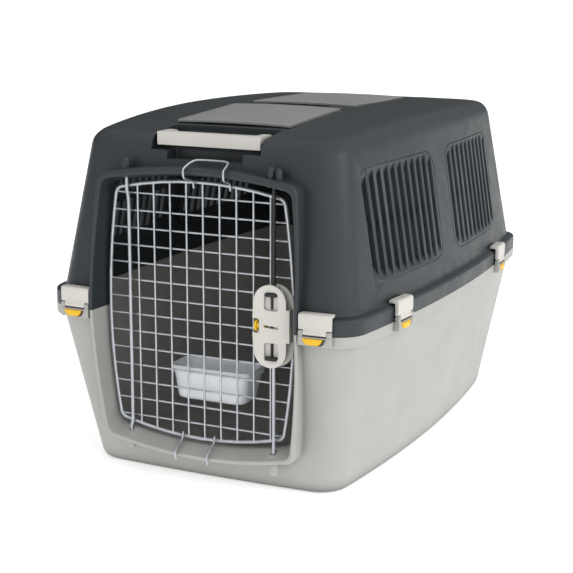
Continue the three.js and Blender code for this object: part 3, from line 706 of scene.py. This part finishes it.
# ---------- vents ----------
SIDE_VENTS = [(-284, -48, 11), (12, 236, 10)]
VENT_LOW, VENT_HIGH = 54, 202  # heights above the seam
VENT_RAMP = 13
VENT_DEPTH = 9
VENT_BAR_DEPTH = 6  # how far the crossbar is set back
VENT_BAR_HALF = 6
REAR_SLOTS = 12
REAR_PITCH = 22
PANEL_CORNER = 30


def wall_spot(y, height, out=0.0):
    """A point on the right side wall, or outside it by out, with the height above the seam."""
    run = (height - WALL_FOOT[1]) / (WALL_HEAD[1] - WALL_FOOT[1])
    inset = WALL_FOOT[0] + run * (WALL_HEAD[0] - WALL_FOOT[0])
    half_depth = HALF_DEPTH - inset
    x = (HALF_WIDTH - inset) * (1 - SIDE_BOW * (y / half_depth) ** 2)
    lean = math.atan((WALL_HEAD[0] - WALL_FOOT[0]) / (WALL_HEAD[1] - WALL_FOOT[1]))
    turn = 2 * SIDE_BOW * (HALF_WIDTH - inset) * y / half_depth ** 2
    return (x + out * math.cos(lean), y + out * turn, SEAM + height + out * math.sin(lean))


def corner_drop(y, start, end):
    """How far the rounded corner of a vent panel lowers its edge at this place."""
    near = max(0.0, PANEL_CORNER - min(y - start, end - y)) / PANEL_CORNER
    return PANEL_CORNER * 0.8 * (1 - math.sqrt(max(0.0, 1 - near ** 2)))


def slot_cutter(y, width, levels, mirror):
    """One upright slot in a side wall. Each level is a distance out from the wall, how much the
    slot narrows there, and the heights of its ends."""
    rings = []
    for out, narrow, bottom, top in levels:
        half = width / 2 - narrow
        corners = [wall_spot(y + side * half, height, out)
                   for side, height in ((-1, bottom), (1, bottom), (1, top), (-1, top))]
        rings.append([(mirror * x, depth, height) for x, depth, height in corners])
    return loft(rings)


def vent_slots():
    """The slots run the full height of a panel between thin ribs. A crossbar set back behind the
    ribs parts each slot into an upper and a lower opening."""
    middle = (VENT_LOW + VENT_HIGH) / 2
    bar_low, bar_high = middle - VENT_BAR_HALF, middle + VENT_BAR_HALF
    fronts, openings = [], []
    for start, end, slots in SIDE_VENTS:
        pitch = (end - start) / slots
        for i in range(slots):
            y = start + (i + 0.5) * pitch
            drop = corner_drop(y, start, end)
            low, high = VENT_LOW + drop, VENT_HIGH - drop
            inner_low, inner_high = low + VENT_RAMP, high - VENT_RAMP
            for mirror in (-1, 1):
                fronts.append(slot_cutter(y, pitch * 0.64, [
                    (3, -0.8, low - 1, high + 1), (0, 0, low, high),
                    (-VENT_BAR_DEPTH, 0.5, inner_low, inner_high)], mirror))
                for bottom, top in ((inner_low, bar_low), (bar_high, inner_high)):
                    openings.append(slot_cutter(y, pitch * 0.58, [
                        (0.2 - VENT_BAR_DEPTH, 0, bottom, top),
                        (-VENT_DEPTH - 8, 0.2, bottom, top)], mirror))
    for i in range(REAR_SLOTS):
        x = (i - (REAR_SLOTS - 1) / 2) * REAR_PITCH
        for low, high in ((VENT_LOW, middle - 5), (middle + 5, VENT_HIGH)):
            openings.append(block((x - 5.5, 300, SEAM + low), (x + 5.5, 400, SEAM + high)))
    return together(fronts), together(openings)


def panel_outline(start, end, margin):
    low = (start - margin, VENT_LOW - margin)
    high = (end + margin, VENT_HIGH + margin)
    return rounded_box(low, high, PANEL_CORNER, 8)


def dense(outline, step=12):
    """The same outline with its long runs divided."""
    line = []
    for a, b in zip(outline, [*outline[1:], outline[0]]):
        parts = max(1, round(math.dist(a, b) / step))
        line += [tuple(p + (q - p) * i / parts for p, q in zip(a, b)) for i in range(parts)]
    return line


def vent_grooves():
    """The fine line round each vent panel."""
    grooves = []
    for start, end, _ in SIDE_VENTS:
        for mirror in (-1, 1):
            path = [wall_spot(y, height, 0.2) for y, height in dense(panel_outline(start, end, 4))]
            grooves.append(tube([(mirror * x, y, z) for x, y, z in path], 1.0, 8, closed=True))
    return together(grooves)


def vent_backing():
    """The thicker wall behind each vent panel, taken out of the cabin's cutter."""
    pads = []
    for start, end, _ in SIDE_VENTS:
        for mirror in (-1, 1):
            outline = dense(panel_outline(start, end, 6))
            rings = [[wall_spot(y, height, out) for y, height in outline] for out in (2, -VENT_DEPTH)]
            pads.append(loft([[(mirror * x, y, z) for x, y, z in ring] for ring in rings]))
    return pads


# ---------- door ----------
UPRIGHT_WIRES = 9
MESH_X = 2.5
CROSS_WIRES = 14
UPRIGHT_PITCH = 25.6
MESH_PITCH = 24.7
MESH_RADIUS = 1.45


def barrel_reach(outline, across=None, height=None):
    """Where a line at one X or one height meets the barrel outline: its lowest and highest value."""
    line = barrel(**outline)
    fixed, free = (0, 1) if across is not None else (1, 0)
    value = across if across is not None else height
    hits = []
    for a, b in zip(line, [*line[1:], line[0]]):
        if (a[fixed] - value) * (b[fixed] - value) <= 0 and a[fixed] != b[fixed]:
            t = (value - a[fixed]) / (b[fixed] - a[fixed])
            hits.append(a[free] + (b[free] - a[free]) * t)
    return min(hits), max(hits)


def make_door():
    middle_line = grown(DOOR_FRAME, -FRAME_WIRE / 2)
    frame_path = [(x + FRAME_X, DOOR_Y, SEAM + h) for x, h in barrel(**middle_line)]
    frame_wire = tube(frame_path, FRAME_WIRE / 2, 16, closed=True)
    piece(frame_wire, "door_frame_wire", "zinc", "door", ["door_frame"])
    wires = []
    for i in range(UPRIGHT_WIRES):
        x = MESH_X + (i - (UPRIGHT_WIRES - 1) / 2) * UPRIGHT_PITCH
        low, high = barrel_reach(middle_line, across=x - FRAME_X)
        y = DOOR_Y - 1.2
        wires.append(tube([(x, y, SEAM + low), (x, y, SEAM + high)], MESH_RADIUS, 12))
    for i in range(CROSS_WIRES):
        height = (i - (CROSS_WIRES - 1) / 2) * MESH_PITCH
        low, high = barrel_reach(middle_line, height=height)
        y = DOOR_Y + 1.2
        wires.append(tube([(low + FRAME_X, y, SEAM + height), (high + FRAME_X, y, SEAM + height)],
                          MESH_RADIUS, 12))
    piece(together(wires), "door_mesh_wires", "zinc", "door", ["door_grille"])
    piece(hinge_rod(), "hinge_rod_wire", "zinc", "door", ["hinge_rod"])
    piece(top_hook(), "top_hook_wire", "zinc", "door", ["top_hook"])
    for hand, x in (("left", -30.5), ("right", 19.5)):
        piece(bottom_hook(x), f"bottom_hook_{hand}_wire", "zinc", "door", [f"bottom_hook_{hand}"])


def hinge_rod():
    """The rod the door turns on, set in a little between its ends."""
    path = [(HINGE_X + aside, HINGE_Y, SEAM + height) for aside, height in (
        (0, -ROD_REACH), (0, -176), (2.6, -160), (2.6, 0), (2.6, 146), (0, 166), (0, ROD_REACH))]
    return tube(smooth_path(path, 8, 0.25), ROD_RADIUS, 16)


def top_hook():
    y = DOOR_Y - FRAME_WIRE / 2 - 1.6

    def side(x, lean):
        return [(x, y, SEAM + 174), (x, y - 3, SEAM + 184), (x - lean * 2, rim_front(190) - 4, SEAM + 190),
                (x - lean * 2, rim_front(195) - 6, SEAM + 203), (x + lean * 4, -346, SEAM + 212)]
    return tube(smooth_path([*side(-9.5, 1), *reversed(side(46.5, -1))], 6, 0.3), 1.5, 12)


def bottom_hook(x):
    """One of the two hooks that reach over the sill."""
    y = DOOR_Y - FRAME_WIRE / 2 - 1.6
    front = rim_front(200)
    path = [(x, y, SEAM - 174), (x, y - 4, SEAM - 184), (x - 1, front - 3, SEAM - 196),
            (x - 1, front - 5, SEAM - 201), (x, front - 4, SEAM - 208)]
    return tube(smooth_path(path, 6, 0.3), 1.5, 12)


# ---------- lock ----------
LOCK_X = 111.5
LOCK_Z = SEAM - 3
LOCK_HALF_WIDTH = 24
LOCK_HALF_HEIGHT = 57
LOCK_BACK = DOOR_Y - FRAME_WIRE / 2 - 0.4
LOCK_PLATE = 2.6
LOCK_FRONT = BOLT_Y - 9
KNOB_X, KNOB_Y = LOCK_X - 20.5, BOLT_Y - 5.2
KNOB_RADIUS = 8
GRIP_UP = 43
BOLT_INNER = 24


def lock_outline(half_width, half_height, bulge=4, steps=14):
    """The oval of the lock: round ends, a straight right side and a swelling left side."""
    straight = half_height - half_width
    line = []
    for step in range(steps + 1):
        turn = math.pi * step / steps
        line.append((half_width * math.cos(turn), straight + half_width * math.sin(turn)))
    for step in range(1, steps):
        t = step / steps
        line.append((-half_width - 2 * bulge * t * (1 - t), straight * (1 - 2 * t)))
    for step in range(steps + 1):
        turn = math.pi * (1 + step / steps)
        line.append((half_width * math.cos(turn), -straight + half_width * math.sin(turn)))
    return line


def lock_prism(outline, front, back, x=LOCK_X):
    return prism([(x + across, LOCK_Z + height) for across, height in outline], front, back, 1)


def lock_case():
    """The front half: an oval plate with two windows, on a block that guides the bolts."""
    back = LOCK_BACK - LOCK_PLATE - 0.4
    case = lock_prism(lock_outline(LOCK_HALF_WIDTH, LOCK_HALF_HEIGHT), LOCK_FRONT, LOCK_FRONT + 4)
    case = add(case, block((LOCK_X - 14, LOCK_FRONT + HAIR, LOCK_Z - 20), (LOCK_X + 29, back, LOCK_Z + 25)))
    for side in (-1, 1):
        window = ring_of([(-9, 22 * side), (13, 22 * side), (12, 47 * side), (-8, 47 * side)], 6, 5)
        case = cut(case, lock_prism(window, LOCK_FRONT - 1, LOCK_FRONT + 5))
        guide = sorted((LOCK_Z + side * 47.5, LOCK_Z + side * 55))
        low, high = (LOCK_X - 6, LOCK_FRONT + 2 * HAIR, guide[0]), (LOCK_X + 10, back, guide[1])
        case = add(case, block(low, high))
    notch = rounded_box((-40, -10), (-16, 10), 3, 4)
    case = cut(case, lock_prism(notch, LOCK_FRONT - 1, LOCK_FRONT + 5))
    slot = ring_of([(-9, -1.4), (12, -2.6), (12, 0.6), (-9, 1.8)], 0.8, 3)
    case = cut(case, lock_prism(slot, LOCK_FRONT - 1, LOCK_FRONT + 3))
    case = cut(case, rod((LOCK_X - 40, KNOB_Y, LOCK_Z), (LOCK_X - 3, KNOB_Y, LOCK_Z), 3))
    reach = 5.6
    channel = block((BOLT_X - reach, BOLT_Y - 5, LOCK_Z - 26), (BOLT_X + reach, BOLT_Y + 5, LOCK_Z + 26))
    groove = block((BOLT_X - 2.6, LOCK_FRONT + 1.6, LOCK_Z - 26.5), (BOLT_X + 2.6, BOLT_Y, LOCK_Z + 26.5))
    bore = rod((BOLT_X, BOLT_Y, LOCK_Z - 70), (BOLT_X, BOLT_Y, LOCK_Z + 70), 3.2)
    case = cut(case, channel, groove, bore)
    return round_edges(add(case, *[window_floor(side) for side in (-1, 1)]), 0.7, 3)


def window_floor(side):
    """The thin wall set back in a window, with a slit for the stem of the finger grip."""
    front, back = LOCK_FRONT + 3.9, LOCK_FRONT + 5.4
    low, high = sorted((LOCK_Z + side * 21, LOCK_Z + side * 48))
    floor = block((LOCK_X - 11, front, low), (LOCK_X + 15, back, high))
    low, high = sorted((LOCK_Z + side * 24, LOCK_Z + side * 50))
    return cut(floor, block((BOLT_X - 1.7, front - 1, low), (BOLT_X + 1.7, back + 1, high)))


def bolt_grip(side):
    """A T-shaped finger grip with a collar that clips round the bolt."""
    def span(a, b):
        return sorted((LOCK_Z + side * a, LOCK_Z + side * b))
    low, high = span(GRIP_UP - 1.4, GRIP_UP + 3)
    bar = block((BOLT_X - 8, LOCK_FRONT - 3.4, low), (BOLT_X + 8, LOCK_FRONT + 3.4, high))
    low, high = span(GRIP_UP - 19, GRIP_UP)
    stem = block((BOLT_X - 1.3, LOCK_FRONT + 1.4, low), (BOLT_X + 1.3, BOLT_Y - 2.8, high))
    low, high = span(GRIP_UP - 19 - HAIR, GRIP_UP + 2)
    collar = block((BOLT_X - 4.4, BOLT_Y - 3.3, low), (BOLT_X + 4.4, BOLT_Y + 1.5, high))
    bore = rod((BOLT_X, BOLT_Y, LOCK_Z - 60), (BOLT_X, BOLT_Y, LOCK_Z + 60), ROD_RADIUS + 0.4)
    return round_edges(cut(add(bar, stem, collar), bore), 0.6, 2)


def make_lock():
    outline = lock_outline(LOCK_HALF_WIDTH + 3, LOCK_HALF_HEIGHT, 2)
    back = lock_prism(outline, LOCK_BACK - LOCK_PLATE, LOCK_BACK, LOCK_X + 3)
    piece(round_edges(back, 0.6, 2), "lock_back_plate_skin", "light_grey", "door", ["lock_back_plate"])
    piece(lock_case(), "lock_case_skin", "light_grey", "door", ["lock_case"])
    for name, side in (("upper", 1), ("lower", -1)):
        body = f"{name}_bolt_set"
        finish = "black" if side > 0 else "zinc"
        start, end = LOCK_Z + side * BOLT_INNER, SEAM + side * ROD_REACH
        piece(tube([(BOLT_X, BOLT_Y, start), (BOLT_X, BOLT_Y, end)], ROD_RADIUS, 18), f"{name}_bolt_rod",
              finish, body, [f"{name}_bolt"])
        piece(bolt_grip(side), f"{name}_bolt_grip_skin", "black", body, [f"{name}_bolt_grip"])
        piece(spring(side), f"{name}_spring_wire", "zinc", body, [f"{name}_spring"])
        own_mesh(bpy.data.objects[f"{name}_spring_wire"])
    piece(knob(), "safety_knob_skin", "yellow", "safety_knob", ["safety_knob"])


def spring(side):
    turns, steps = 5, 60
    path = []
    for i in range(steps + 1):
        angle = 2 * math.pi * turns * i / steps
        reach = 1.5 + (BOLT_INNER - 2.5) * i / steps
        path.append((BOLT_X + 1.9 * math.cos(angle), BOLT_Y + 1.9 * math.sin(angle), LOCK_Z + side * reach))
    return tube(path, 0.5, 8)


def knob():
    """The yellow safety knob: a dished disc on a stub that slides into the side of the lock."""
    left, right = KNOB_X - 1.5, KNOB_X + 1.5
    profile = [(2.6, left + 1), (5.6, left), (7.4, left), (KNOB_RADIUS, left + 0.8),
               (KNOB_RADIUS, right - 0.8), (7.3, right), (4.4, right + 0.2), (2.4, right + 3.5),
               (2.4, LOCK_X - 8)]
    return lathe(profile, (0, KNOB_Y, LOCK_Z), 0, 36)


# ---------- bowl ----------
BOWL_X = 2.5


def bowl_ring(half_width, front, back, height, radius=16):
    outline = rounded_box((BOWL_X - half_width, front), (BOWL_X + half_width, back), radius, 8)
    return [(x, y, height) for x, y in outline]


def make_bowl():
    """A tub with a turned-out rim, a step under the rim and a slightly raised floor."""
    front, back = DOOR_Y + 7, DOOR_Y + 71
    rim, base = SEAM - 82, SEAM - 130
    wall = [(50, 7, 9, base), (53, 4, 6, base + 2), (54, 3.4, 5.4, base + 6), (59.4, 2.6, 3.6, rim - 12),
            (60, 2.2, 3, rim - 10), (62.4, 0.6, 0.6, rim - 9.6), (63, 0, 0, rim - 8), (63, 0, 0, rim - 0.8),
            (62.4, 0.4, 0.4, rim), (61, 1.6, 1.6, rim), (60, 2.4, 2.6, rim - 1), (59.4, 3, 3.4, rim - 9),
            (52, 6, 8, base + 7), (50.5, 7, 9, base + 3.6), (46, 11, 13, base + 3)]
    rings = [bowl_ring(half, front + fore, back - aft, height) for half, fore, aft, height in wall]
    piece(loft(rings), "bowl_skin", "clear_white", "bowl", ["bowl"], smooth=50)


# ---------- materials ----------
def nodes_for(name):
    material = bpy.data.materials.new(name)
    material.use_nodes = True
    return material, material.node_tree


def noise(tree, scale, detail):
    """A noise texture in object space, so that it doesn't depend on a mesh's unwrapping."""
    place = tree.nodes.new("ShaderNodeTexCoord")
    texture = tree.nodes.new("ShaderNodeTexNoise")
    texture.inputs["Scale"].default_value = scale
    texture.inputs["Detail"].default_value = detail
    tree.links.new(place.outputs["Object"], texture.inputs["Vector"])
    return texture.outputs["Fac"]


def ramp(tree, source, stops):
    made = tree.nodes.new("ShaderNodeValToRGB")
    while len(made.color_ramp.elements) < len(stops):
        made.color_ramp.elements.new(0.5)
    for element, (place, value) in zip(made.color_ramp.elements, stops):
        element.position = place
        element.color = (*value, 1)
    tree.links.new(source, made.inputs["Fac"])
    return made.outputs["Color"]


def remap(tree, source, low, high, start=0.3, end=0.7):
    """Carries the values from start to end over to low to high."""
    made = tree.nodes.new("ShaderNodeMapRange")
    for name, value in (("From Min", start), ("From Max", end), ("To Min", low), ("To Max", high)):
        made.inputs[name].default_value = value
    tree.links.new(source, made.inputs["Value"])
    return made.outputs["Result"]


def edge_mask(tree, radius):
    """Near 0 on flat stretches and rising towards sharp edges."""
    soft = tree.nodes.new("ShaderNodeBevel")
    soft.samples = 4
    soft.inputs["Radius"].default_value = radius * MM
    place = tree.nodes.new("ShaderNodeNewGeometry")
    likeness = tree.nodes.new("ShaderNodeVectorMath")
    likeness.operation = "DOT_PRODUCT"
    tree.links.new(soft.outputs["Normal"], likeness.inputs[0])
    tree.links.new(place.outputs["Normal"], likeness.inputs[1])
    return soft.outputs["Normal"], remap(tree, likeness.outputs["Value"], 0, 1, 0.995, 0.8)


def mix(tree, factor, first, second, blend="MIX"):
    """Mixes two colours. The factor and the colours may be values or outputs of nodes."""
    made = tree.nodes.new("ShaderNodeMix")
    made.data_type = "RGBA"
    made.blend_type = blend
    if hasattr(factor, "is_linked"):
        tree.links.new(factor, made.inputs["Factor"])
    else:
        made.inputs["Factor"].default_value = factor
    for socket, value in ((made.inputs["A"], first), (made.inputs["B"], second)):
        if hasattr(value, "is_linked"):
            tree.links.new(value, socket)
        else:
            socket.default_value = (*value, 1)
    return made.outputs["Result"]


def shade(colour, factor):
    return tuple(min(1.0, channel * factor) for channel in colour)


def bump(tree, height, strength, distance, normal=None):
    made = tree.nodes.new("ShaderNodeBump")
    made.inputs["Strength"].default_value = strength
    made.inputs["Distance"].default_value = distance * MM
    tree.links.new(height, made.inputs["Height"])
    if normal is not None:
        tree.links.new(normal, made.inputs["Normal"])
    return made.outputs["Normal"]


def painted_crevice_shade(tree, colour, reach, depth):
    """Darkens a colour where surfaces meet and in gaps: painted shade, taken from ambient occlusion."""
    near = tree.nodes.new("ShaderNodeAmbientOcclusion")
    near.samples = 6
    near.inputs["Distance"].default_value = reach * MM
    strength = ramp(tree, near.outputs["AO"], [(0.15, (depth,) * 3), (0.8, (1, 1, 1))])
    return mix(tree, 1, colour, strength, "MULTIPLY")


def tones(tree, source, colour, low, high):
    """A colour that drifts between two shades of itself."""
    return ramp(tree, source, [(0.3, shade(colour, low)), (0.7, shade(colour, high))])


def surface(tree, colour, roughness, normal, **values):
    """Sets up the shader: three of its inputs come from nodes and the others are plain values."""
    shader = tree.nodes["Principled BSDF"]
    for name, source in (("Base Color", colour), ("Roughness", roughness), ("Normal", normal)):
        tree.links.new(source, shader.inputs[name])
    for name, value in values.items():
        shader.inputs[name.replace("_", " ")].default_value = value


def plastic(name, colour, roughness, grain=0.18, edge=1.25, edge_radius=0.9, specular=0.5,
            painted_shade_depth=0.35):
    """Moulded plastic: fine spark grain, slow colour and gloss drift, paler edges that are a painted
    highlight, and painted shade in crevices.
    """
    material, tree = nodes_for(f"{name}_plastic")
    tone = tones(tree, noise(tree, 9, 3), colour, 0.95, 1.05)
    softened, mask = edge_mask(tree, edge_radius)
    # Paler edges: a painted highlight along every sharp edge, placed by the bevel mask.
    edge_highlighted = mix(tree, mask, tone, shade(colour, edge))
    gloss = remap(tree, noise(tree, 34, 4), roughness - 0.05, roughness + 0.06)
    spark = bump(tree, noise(tree, 1500, 2), grain, 0.12, softened)
    # Painted shade: ambient occlusion darkens the base colour in crevices and gaps.
    surface(tree, painted_crevice_shade(tree, edge_highlighted, 30, painted_shade_depth), gloss, spark, Specular_IOR_Level=specular)
    return material


def wire(name, colour, roughness):
    """Zinc-plated wire: cloudy colour and gloss, and fine pitting."""
    material, tree = nodes_for(name)
    cloud = noise(tree, 60, 4)
    gloss = remap(tree, cloud, roughness - 0.08, roughness + 0.1)
    pitting = bump(tree, noise(tree, 900, 3), 0.15, 0.1)
    surface(tree, tones(tree, cloud, colour, 0.82, 1.12), gloss, pitting, Metallic=0.85)
    return material


def milky(name, colour):
    """The bowl's milky polypropylene, which lets some light through."""
    material, tree = nodes_for(name)
    cloud = noise(tree, 22, 3)
    ripple = bump(tree, noise(tree, 500, 2), 0.08, 0.1)
    surface(tree, tones(tree, cloud, colour, 0.95, 1.04), remap(tree, cloud, 0.26, 0.4), ripple,
            Transmission_Weight=0.25, IOR=1.49)
    return material


FINISHES = dict(
    warm_grey=plastic("warm_grey", (0.4, 0.4, 0.38), 0.5, edge=1.15),
    anthracite=plastic("anthracite", (0.026, 0.033, 0.037), 0.42, edge=1.6, specular=0.4),
    light_grey=plastic("light_grey", (0.62, 0.6, 0.56), 0.45, grain=0.1, edge=1.1, edge_radius=0.5,
                       painted_shade_depth=0.6),
    lid_grey=plastic("lid_grey", (0.25, 0.255, 0.245), 0.55, edge=1.3, specular=0.3),
    yellow=plastic("yellow", (0.85, 0.5, 0.01), 0.38, grain=0.06, edge=1.12, edge_radius=0.4,
                   painted_shade_depth=0.7),
    black=plastic("black", (0.008, 0.008, 0.009), 0.45, grain=0.1, edge=2.0, edge_radius=0.4),
    clear_white=milky("clear_white_plastic", (0.9, 0.93, 0.96)),
    zinc=wire("zinc_wire", (0.5, 0.52, 0.55), 0.36),
)
SLOTS = {finish: f"{finish}_plastic" for finish in FINISHES}
SLOTS["zinc"] = "zinc_wire"


# ---------- stage ----------
def make_floor():
    mesh = bpy.data.meshes.new("floor")
    size = 80
    corners = [(-size, -size, 0), (size, -size, 0), (size, size, 0), (-size, size, 0)]
    mesh.from_pydata(corners, [], [(0, 1, 2, 3)])
    floor = show(bpy.data.objects.new("floor", mesh))
    material, tree = nodes_for("floor")
    shader = tree.nodes["Principled BSDF"]
    tone = ramp(tree, noise(tree, 3, 2), [(0.3, (0.86,) * 3), (0.7, (0.9,) * 3)])
    tree.links.new(tone, shader.inputs["Base Color"])
    shader.inputs["Roughness"].default_value = 0.9
    shader.inputs["Emission Color"].default_value = (1, 1, 1, 1)
    shader.inputs["Emission Strength"].default_value = 0.5
    mesh.materials.append(material)


def area_light(name, place, target, size, power):
    data = bpy.data.lights.new(name, "AREA")
    data.shape = "RECTANGLE"
    data.size, data.size_y = size
    data.energy = power
    light = show(bpy.data.objects.new(name, data))
    light.location = place
    light.rotation_euler = (Vector(target) - Vector(place)).to_track_quat("-Z", "Y").to_euler()


def make_lights():
    """A soft studio: bright above, to the right and in front, dark behind and to the left."""
    world = bpy.data.worlds.new("studio")
    world.use_nodes = True
    tree = world.node_tree
    place = tree.nodes.new("ShaderNodeTexCoord")
    toward = tree.nodes.new("ShaderNodeVectorMath")
    toward.operation = "DOT_PRODUCT"
    toward.inputs[1].default_value = (0.55, -0.45, 0.7)
    tree.links.new(place.outputs["Generated"], toward.inputs[0])
    dark, bright = 0.05, 1.15
    level = remap(tree, toward.outputs["Value"], dark, bright, -0.5, 0.8)
    tree.nodes["Background"].inputs["Color"].default_value = (1, 1, 1, 1)
    tree.links.new(level, tree.nodes["Background"].inputs["Strength"])
    scene = bpy.context.scene
    scene.world = world
    scene.view_settings.view_transform = "Standard"
    area_light("key", (2.4, -0.2, 1.6), (0, 0, 0.3), (1.2, 1.2), 12)


def make_camera():
    data = bpy.data.cameras.new("camera")
    data.lens = 89.2
    data.sensor_width = 36
    camera = show(bpy.data.objects.new("camera", data))
    camera.location = (0.9195, -2.008, 0.705)
    swing, tilt, roll = (math.radians(angle) for angle in (25.408, 90 - 12.572, 0.197))
    turn = Matrix.Rotation(swing, 4, "Z") @ Matrix.Rotation(tilt, 4, "X") @ Matrix.Rotation(roll, 4, "Z")
    camera.rotation_euler = turn.to_euler()
    bpy.context.scene.camera = camera


make_camera()
make_floor()
make_lights()
bottom_shell()
top_shell()
make_clamps()
make_lids()
make_handles()
make_door()
make_lock()
make_bowl()
